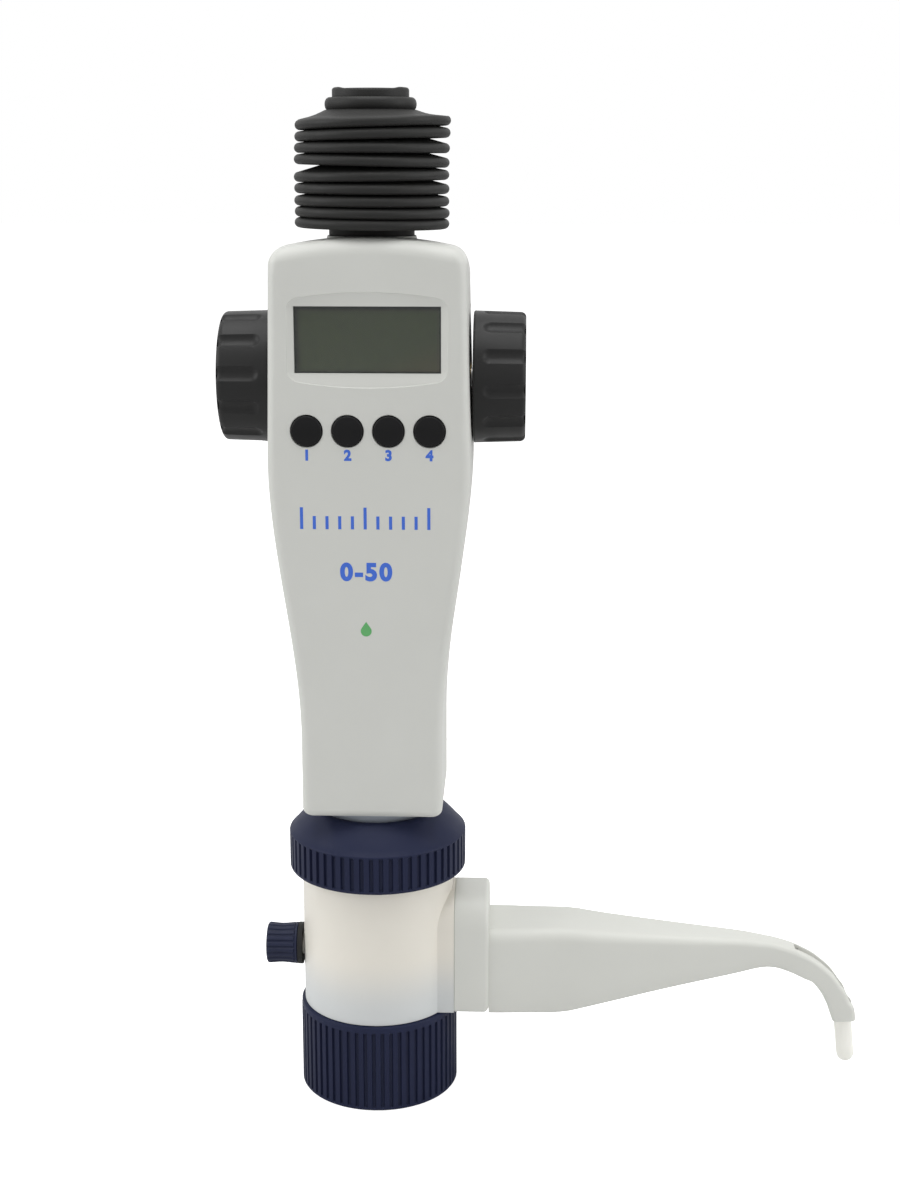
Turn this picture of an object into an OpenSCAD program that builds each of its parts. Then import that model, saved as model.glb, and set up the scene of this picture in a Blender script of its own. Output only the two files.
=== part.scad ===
// Bottle-top digital burette. Millimetres.
// The origin is the centre of the collar's bottom face, on the piston's axis.
// +Z runs up the piston, +X points to the discharge spout and -Y is the display side.

/* [Bottle collar] */
// Outside radius of the collar
collar_r = 27; // [25.5:0.5:32]
// Height of the collar
collar_h = 30.6; // [29:0.1:40]
// Crest radius of the bottle thread
thread_crest_r = 21.5; // [21:0.1:22.5]
// Depth of the bottle thread
thread_depth = 1.3; // [0.8:0.1:1.6]
// Pitch of the bottle thread
thread_pitch = 4; // [3:0.5:4]
// Number of thread turns
thread_turns = 4; // [2:1:4]
// Thickness of the lip that the collar turns on
collar_lip_h = 7; // [4:0.5:9]
// Number of knurls round the collar and the nut
knurl_count = 58; // [36:2:72]
// Depth of a knurl groove
knurl_depth = 0.7; // [0.3:0.1:1]
// Height of the plain band at the collar's top
collar_band_h = 2; // [1:0.5:4]

/* [Valve block] */
// Radius of the valve block
block_r = 25.75; // [24:0.25:26.5]
// Height of the valve block's bare part
block_h = 48.4; // [46.5:0.1:65]
// Radius of the neck that the collar turns on
neck_r = 19; // [17:0.5:20]
// Thickness of the ring that holds the collar
retainer_h = 5.2; // [3:0.2:6]
// Height of the thread that the nut screws on
top_thread_h = 9; // [7:0.5:12]
// Radius of the socket for the filling tube
fill_r = 3; // [2:0.5:4]
// Radius of the inlet ball
inlet_ball_r = 3.4; // [3:0.2:4]
// Radius of the vent nipple
vent_r = 3.8; // [3:0.2:4.5]
// Height of the vent's axis above the block's foot
vent_rise = 18.2; // [12:0.1:30]

/* [Union nut and foot] */
// How far the nut's knurls stand out past the valve block
nut_over = 4.2; // [3:0.1:8]
// Height of the nut's knurled band
nut_band_h = 13.65; // [12:0.05:18]
// Height of the nut's cone
nut_cone_h = 8.4; // [6:0.1:12]
// Radius of the cone's top
nut_top_r = 21.2; // [20.5:0.1:24]
// Radius of the foot sleeve
foot_r = 19.2; // [18:0.1:19.5]
// Thickness of the foot's flange
foot_flange_h = 3; // [2:0.5:4]
// Gap that shows between the nut and the housing
foot_gap = 2.7; // [1:0.1:6]
// Depth that the foot reaches into the housing
foot_insert = 5.7; // [4:0.1:10]

/* [Cylinder and piston] */
// Volume of one full stroke in millilitres
capacity_ml = 50; // [40:1:52]
// Bore radius of the glass cylinder
bore_r = 13; // [12.8:0.1:15.6]
// Wall of the glass cylinder
glass_wall = 2; // [1.6:0.1:2]
// Height of the piston
piston_h = 12; // [9:0.5:13]
// Radius of the piston rod
rod_r = 4.5; // [4:0.1:5]

/* [Housing] */
// Room between the glass cylinder and the grip's side wall
grip_room = 5.75; // [5.4:0.05:9]
// Half width at the hand wheels
head_half_w = 31.9; // [31.3:0.1:36]
// Half width at the crown
crown_half_w = 30.5; // [30.2:0.1:34]
// Height of the housing
body_h = 186.5; // [186:0.5:210]
// Depth from the piston's axis to the front face
front_d = 24; // [24:0.5:28]
// Depth from the piston's axis to the back of the grip
grip_back_d = 21.5; // [21:0.5:26]
// Depth from the piston's axis to the back of the head
head_back_d = 28; // [28:0.5:33]
// Wall of the housing
wall = 2.2; // [1.6:0.1:2.4]
// Radius of the dome on top
dome_r = 130; // [110:5:200]

/* [Display and keys] */
// Half width of the window
window_half_w = 22.75; // [18:0.05:23.2]
// Height of the window
window_h = 20.6; // [16:0.1:21.6]
// Depth of the recess round the window
bezel_d = 1; // [0.5:0.1:1.2]
// Radius of a key
key_r = 4.8; // [4:0.05:5.8]
// Gap between two keys
key_gap = 3.2; // [2.2:0.1:3.4]
// Travel of a key
key_travel = 1; // [0.5:0.1:1]

/* [Hand wheels and gears] */
// Radius of a hand wheel at the housing
wheel_r = 21.3; // [19:0.1:23]
// Radius of a hand wheel at its outer end
wheel_end_r = 20.8; // [18.5:0.1:22.5]
// Width of a hand wheel
wheel_w = 16.8; // [12:0.1:22]
// Number of flutes on a hand wheel
flute_count = 12; // [8:1:16]
// Depth of a flute
flute_depth = 0.8; // [0.4:0.1:1.2]
// Width of a flute
flute_w = 4.6; // [3:0.1:5]
// Radius of the wheels' shaft
shaft_r = 3; // [2.5:0.1:3.2]
// Radius of the reduction gear's shaft
layshaft_r = 2.5; // [2:0.1:3]
// Module of the gears
gear_module = 1; // [0.9:0.05:1]
// Teeth of the two small pinions
pinion_teeth = 12; // [12:1:12]
// Teeth of the reduction gear
gear_teeth = 32; // [30:1:32]

/* [Bellows] */
// Radius of the bellows over its folds
bellows_r = 24.4; // [20:0.1:28]
// Number of folds
fold_count = 9; // [6:1:9]
// Distance between folds at rest
fold_pitch = 3.83; // [3.1:0.01:4.4]
// Radius of the neck at each end
bellows_neck_r = 13.5; // [13:0.1:16]

/* [Spout] */
// Thickness of the outlet base
base_t = 11.8; // [10:0.1:16]
// Half width of the outlet base
base_half_w = 15; // [14.5:0.5:17]
// Height of the outlet base
base_h = 40.6; // [39:0.1:46]
// Half depth of the spout cover at its root
arm_half_d = 13.5; // [11:0.5:14]
// Half depth of the spout cover at its tip
tip_half_d = 4.3; // [4:0.1:5.5]
// Wall of the spout cover
arm_wall = 1.2; // [0.9:0.1:1.3]
// Radius of the discharge tube
tube_r = 1.6; // [1.4:0.1:1.7]
// Radius of the nozzle cap
cap_r = 3.05; // [2.9:0.05:3.6]
// Length of the nozzle cap
cap_l = 15; // [12:0.5:16]

/* [Hidden] */
$fn = 96;

// Clearances
run_gap = 0.3;      // between faces that turn or slide past each other
fit_gap = 0.05;     // round a shaft in its bush
far = 400;          // longer than the object

// Heights along the piston's axis
nut_r = block_r + nut_over;
retainer_z = collar_h - collar_lip_h - run_gap - retainer_h;
block_z = collar_h + run_gap;
nut_z = block_z + block_h;
block_top_z = nut_z + top_thread_h;
flange_top_z = block_top_z + foot_flange_h;
nut_shoulder_z = flange_top_z + run_gap;
nut_cone_z = nut_z + nut_band_h;
nut_top_z = nut_cone_z + nut_cone_h;
body_z = nut_top_z + foot_gap;
foot_top_z = body_z + foot_insert;
crest_z = body_z + body_h;

// Cylinder and piston
glass_r = bore_r + glass_wall;
piston_rise = 1;                 // gap under the resting piston
over_stroke = 2;                 // glass above the piston at the end of its stroke
grip_half_w = glass_r + grip_room + wall;
stroke = capacity_ml * 1000 / (PI * bore_r * bore_r);
piston_z = block_top_z + piston_rise;
rod_z = piston_z + piston_h;
glass_top_z = rod_z + stroke + over_stroke;
seal_h = 1.2;
stud_r = 2.5;                    // stud of the rod, screwed into the piston
stud_l = 6;

// Gear train: hand wheel shaft, reduction gear, rack pinion and rack
shaft_y = 7;                     // the housing splits here, on the shaft's axis
shaft_z = body_z + 141.15;
pinion_pr = gear_module * pinion_teeth / 2;
gear_pr = gear_module * gear_teeth / 2;
layshaft_z = shaft_z - pinion_pr - gear_pr;
rack_y = shaft_y - pinion_pr;    // pitch line of the rack
tooth_add = 0.85 * gear_module;
tooth_ded = 1.3 * gear_module;
tooth_thin = 0.12 * gear_module; // taken off each flank for backlash
pressure_angle = 20;
gear_x = 12;                     // middle of the gear's face
gear_face = 4;
rack_face = 8;
spare_teeth = 2;
rack_teeth = ceil(stroke / (PI * gear_module));
plate_t = 2.5;                   // plates of the gear frame
left_plate_x = -9;
right_plate_x = 16.5;
frame_y = [shaft_y - 12, shaft_y + 9];
frame_top_z = shaft_z + 7.5;
cup_h = 6;                       // rim of the frame's plate round the glass
cup_wall = 2;
base_plate_t = 3;
bush_r = 4.5;
disc_x = -14.5;                  // encoder disc
disc_r = 8.1;
disc_t = 0.8;
disc_slots = 24;
slot_l = 2;
slot_w = 0.9;

// Housing outline
grip_top_z = body_z + 27.15;
head_z = body_z + 117.8;
crown_z = body_z + 177;
split_y = shaft_y;
dome_y = -12;
dome_z = crest_z - dome_r;
outline_steps = 14;
top_boss_r = bellows_neck_r + 0.6;
seat_drop = 0.2;                 // flat seat for the bellows, cut into the crest
seat_ring_h = 8;
side_gap = 0.3;                  // between a hand wheel and the housing

// Display and keys
window_z = body_z + 155.75;       // middle of the window
bezel_side = 2.1;
bezel_rise = 3.8;
bezel_lip = 0.6;
key_z = body_z + 127.65;
key_pitch = 2 * key_r + key_gap;
window_t = 1.2;
lcd_t = 2.7;
board_t = 1.6;
inside_y = -front_d + wall;
window_y = inside_y;
lcd_y = window_y + window_t;
board_y = lcd_y + lcd_t;
board_back_y = board_y + board_t;
board_z = [body_z + 120.5, body_z + 173.4];
board_half_w = 24.6;
post_r = 1.7;
board_screw_r = 0.8;
board_screw_head_r = 1.8;
board_hole_r = 1.1;
key_flange_r = key_r + 0.8;
key_flange_h = 0.6;
key_proud = 0.9;
key_clear = 0.25;
switch_d = 1.9;
switch_half_w = 3;
stem_r = 1.4;
key_x = [for (i = [0:3]) (i - 1.5) * key_pitch];
board_post_x = key_pitch;
board_post_z = [board_z[0] + 2.2, board_z[1] - 2];

// Housing screws, each in a boss against the side wall
boss_r = 2.8;
screw_rises = [13.2, 104, 162.5];
screw_places = [for (s = [-1, 1], rise = screw_rises)
    [s * (half_w(body_z + rise) - boss_r - 0.1), body_z + rise]];
screw_r = 1.3;
screw_head_r = 2;
head_clear = 0.2;
screw_head_h = 1.8;
hex_r = 1.1;
screw_l = 14;
screw_y = split_y + 5;           // seat of the screw's head

// Batteries
cell_r = 5.25;
cell_l = 44.5;
cell_y = 16.6;
cell_z = [shaft_z + 14.8, shaft_z + 26.4];
cell_gap = 0.3;
hinge_r = 1.5;
tray_wall = 1.3;
contact_t = 1;
tray_half_w = cell_l / 2 + contact_t + cell_gap + tray_wall;
tray_z = [cell_z[0] - cell_r - cell_gap - tray_wall, cell_z[1] + cell_r + cell_gap + tray_wall];
tray_y = cell_y - cell_r - cell_gap - tray_wall;
tray_back_y = head_back_d - 2 * hinge_r - run_gap;
tray_tab_w = 1.4;
tray_tab_t = 2.2;
tray_tabs = [[tray_z[0] + 3.7, tray_z[0] + 9.2], [tray_z[1] - 8.2, tray_z[1] - 3]];
door_t = 2;
door_gap = 0.35;
hinge_pin_r = 0.8;
door_half_w = tray_half_w - 0.3;
hinge_z = tray_z[0] + 1.2;
hinge_y = head_back_d - hinge_r;
door_top_z = tray_z[1] - 0.6;

// Bellows: neck, folds, flare and top ring
bellows_z = crest_z - seat_drop;
bellows_neck_h = 1.8;
bellows_bore_r = 12;
fold_t = 3;
fold_root_r = 15.5;
first_fold_z = bellows_z + bellows_neck_h + 2;
flare_z = first_fold_z + (fold_count - 1) * fold_pitch + fold_t / 2;
flare_h = 3.5;
bellows_ring_h = 2.8;
bellows_top_z = flare_z + flare_h + bellows_ring_h;
cap_plate_r = 12;
cap_plate_h = 2.9;
cap_plug_h = 7;
rod_top_z = bellows_top_z;
guide_flange_h = 2;
guide_r = 7.5;
guide_h = 15;

// Valves and channels
base_x = block_r + 0.75;
channel_r = 3;
seat_z = block_z + 4.7;
seat_h = 5;
seat_hole_r = 2.5;
chamber_r = inlet_ball_r + 1;
chamber_top_z = seat_z + seat_h + 9;
inlet_ball_z = seat_z + seat_h + sqrt(pow(inlet_ball_r, 2) - pow(seat_hole_r, 2)) + fit_gap;
outlet_z = block_z + 20.2;
valve_r = 6.5;
valve_l = 17;
valve_x = base_x + 9.5 - valve_l;
valve_floor = 3;
outlet_hole_r = 2;
outlet_ball_r = 3.2;
outlet_ball_x = valve_x + valve_floor + fit_gap
    + sqrt(pow(outlet_ball_r, 2) - pow(outlet_hole_r, 2));
outlet_chamber_r = 4.2;
spring_r = 2.4;
spring_wire_r = 0.35;
spring_turns = 4;
outlet_travel = 1;
spigot_r = 3.2;
spigot_l = 4;

// Vent
vent_z = block_z + vent_rise;
vent_bore_r = 1.2;
vent_down_x = 14;
nipple_l = 8;
washer_x = block_r + 0.4;
washer_t = 1.6;
vent_cap_x = washer_x + washer_t + 0.1;
vent_cap_l = 10.7;
vent_cap_r = 7.1;
vent_ribs = 20;

// Outlet base and spout
base_corner_r = 10.5;
base_screw_places = [for (s = [-1, 1]) [s * 10.2, block_z + 7]];
screw_sink = 3;                  // depth of the sunk heads of the base's screws
arm_x = base_x + base_t;

// Edges of the arm, from its root and the block's foot
arm_top_edge = [[0, 29.2], [27.5, 29.2], [40.5, 27.6], [85.4, 23], [97, 21.3],
    [105, 19.3], [109.5, 17.3], [113, 15.3], [117.6, 11], [120.8, 6.5],
    [122.3, 4.3], [124.2, -0.1], [125.7, -2.3], [126.5, -5.3], [126.7, -7.6]];
arm_bottom_edge = [[119.4, -8], [118.4, -5.3], [116.8, -1.2], [114.6, 3.4], [111.8, 7.9],
    [108.1, 10.4], [103.8, 12.7], [99.6, 14.4], [95.7, 15.3], [90.7, 14.6],
    [76.1, 10.8], [49.4, 4.6], [32.4, 0.3], [24.7, -1], [0, -1]];
arm_top_z = block_z + arm_top_edge[0][1];
arm_foot_z = block_z + arm_bottom_edge[len(arm_bottom_edge) - 1][1];
tip_x = arm_x + 122.7;
arm_ref = [arm_x, block_z];

// Places from the root of the arm and the block's foot
function at(p) = [arm_ref[0] + p[0], arm_ref[1] + p[1]];
channel_x = arm_x + 108.4;
channel_half_w = tube_r + 0.5;

// Route of the discharge tube, from the valve to the nozzle
tube_route = [[-1.8, 20.2], [20, 19.9], [50, 19.3], [80, 18.8], [91, 18.6], [96, 18.3],
    [100, 17.7], [104.1, 16.4], [107.9, 14.7], [111.7, 12.4], [115.1, 9.3], [118, 5],
    [120.2, 0.9], [121.8, -3], [122.7, -6.2], [123.2, -10.6], [123.7, -15.2]];
nozzle_at = at([122.9, -8.3]);
nozzle_to = at([124.4, -21.3]);
nozzle_tilt = atan2(nozzle_to[0] - nozzle_at[0], nozzle_at[1] - nozzle_to[1]);

// ---- Shapes that repeat ----

module ring(r_out, r_in, h) {
    difference() {
        cylinder(r = r_out, h = h);
        translate([0, 0, -1]) cylinder(r = r_in, h = h + 2);
    }
}

// Turned along +X, -X, +Y and -Y
module along_x() rotate([0, 90, 0]) children();
module against_x() rotate([0, -90, 0]) children();
module along_y() rotate([-90, 0, 0]) children();
module against_y() rotate([90, 0, 0]) children();

// An outline drawn in x and z, made solid from y0 to y1
module front_slab(points, y0, y1) {
    translate([0, y1, 0]) rotate([90, 0, 0]) linear_extrude(y1 - y0) polygon(points);
}

// An outline drawn in y and z, made solid from x0 to x1
module side_slab(points, x0, x1) {
    translate([x0, 0, 0]) rotate([90, 0, 90]) linear_extrude(x1 - x0) polygon(points);
}

module block_of(x, y, z) {
    translate([x[0], y[0], z[0]]) cube([x[1] - x[0], y[1] - y[0], z[1] - z[0]]);
}

// Outline of a knurled grip with narrow grooves between broad ribs
function knurl(r, depth, n) = [for (i = [0:n - 1], p = [[0, 0], [0.62, 0], [0.72, depth],
    [0.9, depth]]) (r - p[1]) * [cos((i + p[0]) * 360 / n), sin((i + p[0]) * 360 / n)]];

// Involute tooth flank, as the point at distance r with the tooth centred on angle a
function inv(deg) = tan(deg) * 180 / PI - deg;
function flank(r, n, side, a) =
    let (pr = gear_module * n / 2, br = pr * cos(pressure_angle),
        roll = r > br ? inv(acos(br / r)) : 0,
        half = 90 / n - tooth_thin / pr * 180 / PI + inv(pressure_angle) - roll)
    r * [cos(a + side * half), sin(a + side * half)];
function gear_outline(n) =
    let (pr = gear_module * n / 2, br = pr * cos(pressure_angle), root = pr - tooth_ded,
        tip = pr + tooth_add, low = max(root, br),
        rs = [root, for (k = [0:4]) low + (tip - low) * k / 4])
    [for (i = [0:n - 1]) each concat(
        [for (r = rs) flank(r, n, -1, i * 360 / n)],
        [for (k = [len(rs) - 1:-1:0]) flank(rs[k], n, 1, i * 360 / n)])];
module gear(n, face, hole_r) {
    difference() {
        linear_extrude(face) polygon(gear_outline(n));
        translate([0, 0, -1]) cylinder(r = hole_r, h = face + 2);
    }
}

// Smooth curve through a list of points, with k stretches between each two
function spline(p, i, t) =
    let (a = p[max(i - 1, 0)], b = p[i], c = p[i + 1], d = p[min(i + 2, len(p) - 1)])
    0.5 * ((2 * b) + (c - a) * t + (2 * a - 5 * b + 4 * c - d) * t * t
        + (3 * b - a - 3 * c + d) * t * t * t);
function smooth_route(p, k) = [for (i = [0:len(p) - 2], j = [0:k - 1]) spline(p, i, j / k),
    p[len(p) - 1]];

// A hollow tube swept along a route that lies in the plane y = 0
module swept_tube(route, r, hole_r, sides) {
    n = len(route);
    function normal(i) =
        let (d = route[min(i + 1, n - 1)] - route[max(i - 1, 0)]) [-d[1], d[0]] / norm(d);
    function loop(i, rr) = [for (j = [0:sides - 1]) let (a = j * 360 / sides,
        q = route[i] + normal(i) * rr * cos(a)) [q[0], rr * sin(a), q[1]]];
    points = [for (i = [0:n - 1]) each concat(loop(i, r), loop(i, hole_r))];
    function at_(i, j, inner) = i * 2 * sides + inner * sides + (j % sides);
    faces = concat(
        [for (i = [0:n - 2], j = [0:sides - 1])
            [at_(i, j, 0), at_(i + 1, j, 0), at_(i + 1, j + 1, 0), at_(i, j + 1, 0)]],
        [for (i = [0:n - 2], j = [0:sides - 1])
            [at_(i, j + 1, 1), at_(i + 1, j + 1, 1), at_(i + 1, j, 1), at_(i, j, 1)]],
        [for (j = [0:sides - 1]) [at_(0, j + 1, 0), at_(0, j + 1, 1), at_(0, j, 1), at_(0, j, 0)]],
        [for (j = [0:sides - 1])
            [at_(n - 1, j, 0), at_(n - 1, j, 1), at_(n - 1, j + 1, 1), at_(n - 1, j + 1, 0)]]);
    polyhedron(points, faces, convexity = 8);
}

// ---- Housing ----

function step(t) = let (u = min(max(t, 0), 1)) u * u * (3 - 2 * u);
function half_w(z) = z < head_z
    ? grip_half_w + (head_half_w - grip_half_w) * step((z - grip_top_z) / (head_z - grip_top_z))
    : head_half_w + (crown_half_w - head_half_w) * (z - head_z) / (crown_z - head_z);
function back_d(z) = grip_back_d + (head_back_d - grip_back_d)
    * step((z - grip_top_z) / (head_z - grip_top_z));
outline_z = [for (k = [0:outline_steps]) grip_top_z + (head_z - grip_top_z) * k / outline_steps];
corner_r = 3;
function front_outline(inset) =
    let (side = concat(
        [[half_w(body_z) - corner_r - inset / 2, body_z + inset],
         [half_w(body_z) - inset, body_z + corner_r + inset / 2]],
        [for (z = outline_z) [half_w(z) - inset, z]],
        [[half_w(crown_z) - inset, crown_z], [half_w(crown_z) - inset, crest_z + 1]]))
    concat(side, [for (k = [len(side) - 1:-1:0]) [-side[k][0], side[k][1]]]);
function side_outline(inset) = concat(
    [[-front_d + corner_r + inset / 2, body_z + inset], [-front_d + inset, body_z + corner_r + inset / 2],
     [-front_d + inset, crown_z + 3], [-front_d + inset + 3.5, crest_z + 1]],
    [[head_back_d - inset - 6, crest_z + 1], [head_back_d - inset, crown_z]],
    [for (k = [outline_steps:-1:0]) [back_d(outline_z[k]) - inset, outline_z[k]]],
    [[grip_back_d - inset, body_z + corner_r + inset / 2],
     [grip_back_d - corner_r - inset / 2, body_z + inset]]);

module housing_form(inset) {
    intersection() {
        front_slab(front_outline(inset), -front_d - 1, head_back_d + 1);
        side_slab(side_outline(inset), -head_half_w - 1, head_half_w + 1);
        translate([0, dome_y, dome_z]) sphere(r = dome_r - inset);
    }
}

// The hollow housing with its flat seat for the bellows
module housing_case() {
    difference() {
        union() {
            housing_form(0);
            translate([0, 0, crest_z - seat_ring_h]) cylinder(r = top_boss_r, h = seat_ring_h - seat_drop);
        }
        translate([0, 0, crest_z - seat_drop]) cylinder(r = top_boss_r, h = 5);
        difference() {
            housing_form(wall);
            translate([0, 0, crest_z - seat_ring_h]) cylinder(r = guide_r + 4, h = far);
        }
        translate([0, 0, crest_z - 12]) cylinder(r = guide_r, h = far);
        translate([0, 0, body_z - 1]) cylinder(r = foot_r, h = wall + 2);
        translate([-far / 2, shaft_y, shaft_z]) along_x() cylinder(r = bush_r, h = far);
    }
}

module front_half() block_of([-60, 60], [-60, split_y], [body_z - 5, crest_z + 5]);
module rear_half() block_of([-60, 60], [split_y, 60], [body_z - 5, crest_z + 5]);

// Ledge inside a shell that the gear frame rests on
ledge_w = 4;
ledge_h = 2.2;
module ledges(y0, y1) {
    for (s = [-1, 1])
        intersection() {
            block_of(s > 0 ? [half_w(glass_top_z) - wall - ledge_w, half_w(glass_top_z) - wall / 2]
                : [-half_w(glass_top_z) + wall / 2, -half_w(glass_top_z) + wall + ledge_w],
                [y0, y1], [glass_top_z - ledge_h, glass_top_z]);
            housing_form(wall / 2);
        }
}

bezel_half_w = window_half_w + bezel_side;
bezel_r = bezel_half_w * bezel_half_w / 2 / bezel_rise + bezel_rise / 2;
bezel_edge = window_h / 2 + bezel_lip;
module bezel_cut(depth) {
    translate([0, -front_d + depth, window_z]) against_y() linear_extrude(depth + 3)
        intersection() {
            square([2 * bezel_half_w, 3 * window_h], center = true);
            translate([0, bezel_edge + bezel_rise - bezel_r]) circle(r = bezel_r, $fn = 360);
            translate([0, bezel_r - bezel_edge - bezel_rise]) circle(r = bezel_r, $fn = 360);
        }
}

module front_shell() {
    color([0.75, 0.755, 0.74]) difference() {
        union() {
            intersection() {
                housing_case();
                front_half();
            }
            ledges(inside_y + 4, split_y - 0.5);
            for (p = screw_places)
                translate([p[0], inside_y - wall / 2, p[1]]) along_y()
                    cylinder(r = boss_r, h = split_y - inside_y + wall / 2);
            for (s = [-1, 1], z = board_post_z)
                translate([s * board_post_x, inside_y - wall / 2, z]) along_y()
                    cylinder(r = post_r, h = board_y - inside_y + wall / 2);
        }
        bezel_cut(bezel_d);
        block_of([-window_half_w, window_half_w], [-front_d - 1, inside_y + 1],
            [window_z - window_h / 2, window_z + window_h / 2]);
        for (x = key_x)
            translate([x, -front_d - 1, key_z]) along_y() cylinder(r = key_r + key_clear, h = wall + 2);
        for (p = screw_places)
            translate([p[0], screw_y - screw_l - 0.5, p[1]]) along_y() cylinder(r = screw_r, h = far);
        for (s = [-1, 1], z = board_post_z)
            translate([s * board_post_x, board_y - 2.6, z]) along_y() cylinder(r = board_screw_r, h = 5);
    }
}

module rear_shell() {
    color([0.74, 0.745, 0.73]) difference() {
        union() {
            intersection() {
                housing_case();
                rear_half();
            }
            ledges(split_y + 0.5, back_d(glass_top_z) - wall / 2);
            for (p = screw_places)
                intersection() {
                    translate([p[0], split_y, p[1]]) along_y() cylinder(r = boss_r, h = far);
                    housing_form(wall / 2);
                }
        }
        for (p = screw_places) {
            translate([p[0], split_y - 1, p[1]]) along_y() cylinder(r = screw_r, h = far);
            translate([p[0], screw_y, p[1]]) along_y() cylinder(r = screw_head_r + head_clear, h = far);
        }
        // Opening for the door, with the sockets of its hinge
        block_of([-door_half_w - door_gap, door_half_w + door_gap], [head_back_d - wall - 1, far],
            [hinge_z - hinge_r - door_gap, door_top_z + door_gap]);
        translate([-door_half_w - 2, hinge_y, hinge_z]) along_x()
            cylinder(r = hinge_pin_r + fit_gap, h = 2 * door_half_w + 4);
    }
}

module display_window() {
    color([0.8, 0.85, 0.85, 0.4])
        block_of([-window_half_w - 1.5, window_half_w + 1.5], [window_y, lcd_y],
            [window_z - window_h / 2 - 1.5, window_z + window_h / 2 + 1.5]);
}

module lcd_panel() {
    color([0.3, 0.32, 0.26])
        block_of([-window_half_w - 1.2, window_half_w + 1.2], [lcd_y, board_y],
            [window_z - window_h / 2 - 2.5, window_z + window_h / 2 + 2.5]);
}

module circuit_board() {
    color([0.1, 0.35, 0.2]) difference() {
        block_of([-board_half_w, board_half_w], [board_y, board_back_y], board_z);
        for (s = [-1, 1], z = board_post_z)
            translate([s * board_post_x, board_y - 1, z]) along_y()
                cylinder(r = board_hole_r, h = board_t + 2);
    }
}

module board_screws() {
    color([0.7, 0.7, 0.7]) for (s = [-1, 1], z = board_post_z)
        translate([s * board_post_x, board_y - 2, z]) along_y() {
            cylinder(r = board_screw_r, h = board_t + 2);
            translate([0, 0, board_t + 2]) cylinder(r = board_screw_head_r, h = 1.2);
        }
}

module key_switches() {
    color([0.2, 0.2, 0.2]) for (x = key_x)
        difference() {
            block_of([x - switch_half_w, x + switch_half_w], [board_y - switch_d, board_y],
                [key_z - switch_half_w, key_z + switch_half_w]);
            translate([x, board_y - switch_d - 1, key_z]) along_y()
                cylinder(r = stem_r + 0.1, h = switch_d + 0.7);
        }
}

module key(i) {
    flange_y = inside_y + 0.1;
    stem_y = board_y - key_travel - 0.5;
    color([0.13, 0.13, 0.13]) translate([key_x[i], 0, key_z]) {
        translate([0, -front_d - key_proud, 0]) along_y()
            cylinder(r = key_r, h = flange_y + front_d + key_proud);
        translate([0, flange_y, 0]) along_y() cylinder(r = key_flange_r, h = key_flange_h);
        translate([0, flange_y, 0]) along_y() cylinder(r = stem_r, h = stem_y - flange_y);
    }
}
module key_1() key(0);
module key_2() key(1);
module key_3() key(2);
module key_4() key(3);

module housing_screws() {
    color([0.7, 0.7, 0.72]) for (p = screw_places)
        translate([p[0], screw_y - screw_l, p[1]]) along_y() {
            cylinder(r = screw_r, h = screw_l);
            difference() {
                translate([0, 0, screw_l]) cylinder(r = screw_head_r, h = screw_head_h);
                translate([0, 0, screw_l + 0.8]) cylinder(r = hex_r, h = 2, $fn = 6);
            }
        }
}

// ---- Mechanism in the housing ----

// Plate on the glass, with two upright plates that carry the shafts
module gear_frame() {
    plate_half_w = half_w(glass_top_z) - wall - run_gap;
    color([0.62, 0.62, 0.6]) difference() {
        union() {
            block_of([-plate_half_w, plate_half_w], [inside_y + 1.5, back_d(glass_top_z) - wall - run_gap],
                [glass_top_z, glass_top_z + base_plate_t]);
            translate([0, 0, glass_top_z - cup_h])
                cylinder(r = glass_r + fit_gap + cup_wall, h = cup_h + 1);
            for (x = [left_plate_x, right_plate_x])
                block_of([x, x + plate_t], frame_y, [glass_top_z + 1, frame_top_z]);
        }
        translate([0, 0, glass_top_z - far]) cylinder(r = glass_r + fit_gap, h = far);
        translate([0, 0, glass_top_z - 1]) cylinder(r = rod_r + 0.8, h = 20);
        for (z = [shaft_z, layshaft_z])
            translate([left_plate_x - 1, shaft_y, z]) along_x() cylinder(r = bush_r, h = 40);
    }
}

module bush(x, z, l, hole_r) {
    translate([x, shaft_y, z]) along_x() ring(bush_r, hole_r + fit_gap, l);
}
module shaft_bushes() {
    color([0.75, 0.6, 0.3]) {
        for (x = [left_plate_x, right_plate_x]) {
            bush(x, shaft_z, plate_t, shaft_r);
            bush(x, layshaft_z, plate_t, layshaft_r);
        }
        for (x = [-half_w(shaft_z), half_w(shaft_z) - wall - 1.5])
            bush(x, shaft_z, wall + 1.5, shaft_r);
    }
}

module rod_guide() {
    color([0.9, 0.9, 0.88]) difference() {
        union() {
            translate([0, 0, bellows_z - guide_h]) cylinder(r = guide_r, h = guide_h + 1);
            translate([0, 0, bellows_z]) cylinder(r = bellows_bore_r - 0.2, h = guide_flange_h);
        }
        translate([0, 0, crest_z - 40]) cylinder(r = rod_r + fit_gap, h = 80);
    }
}

module glass_cylinder() {
    color([0.8, 0.9, 0.9, 0.4]) translate([0, 0, block_top_z]) ring(glass_r, bore_r, glass_top_z - block_top_z);
}

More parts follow.
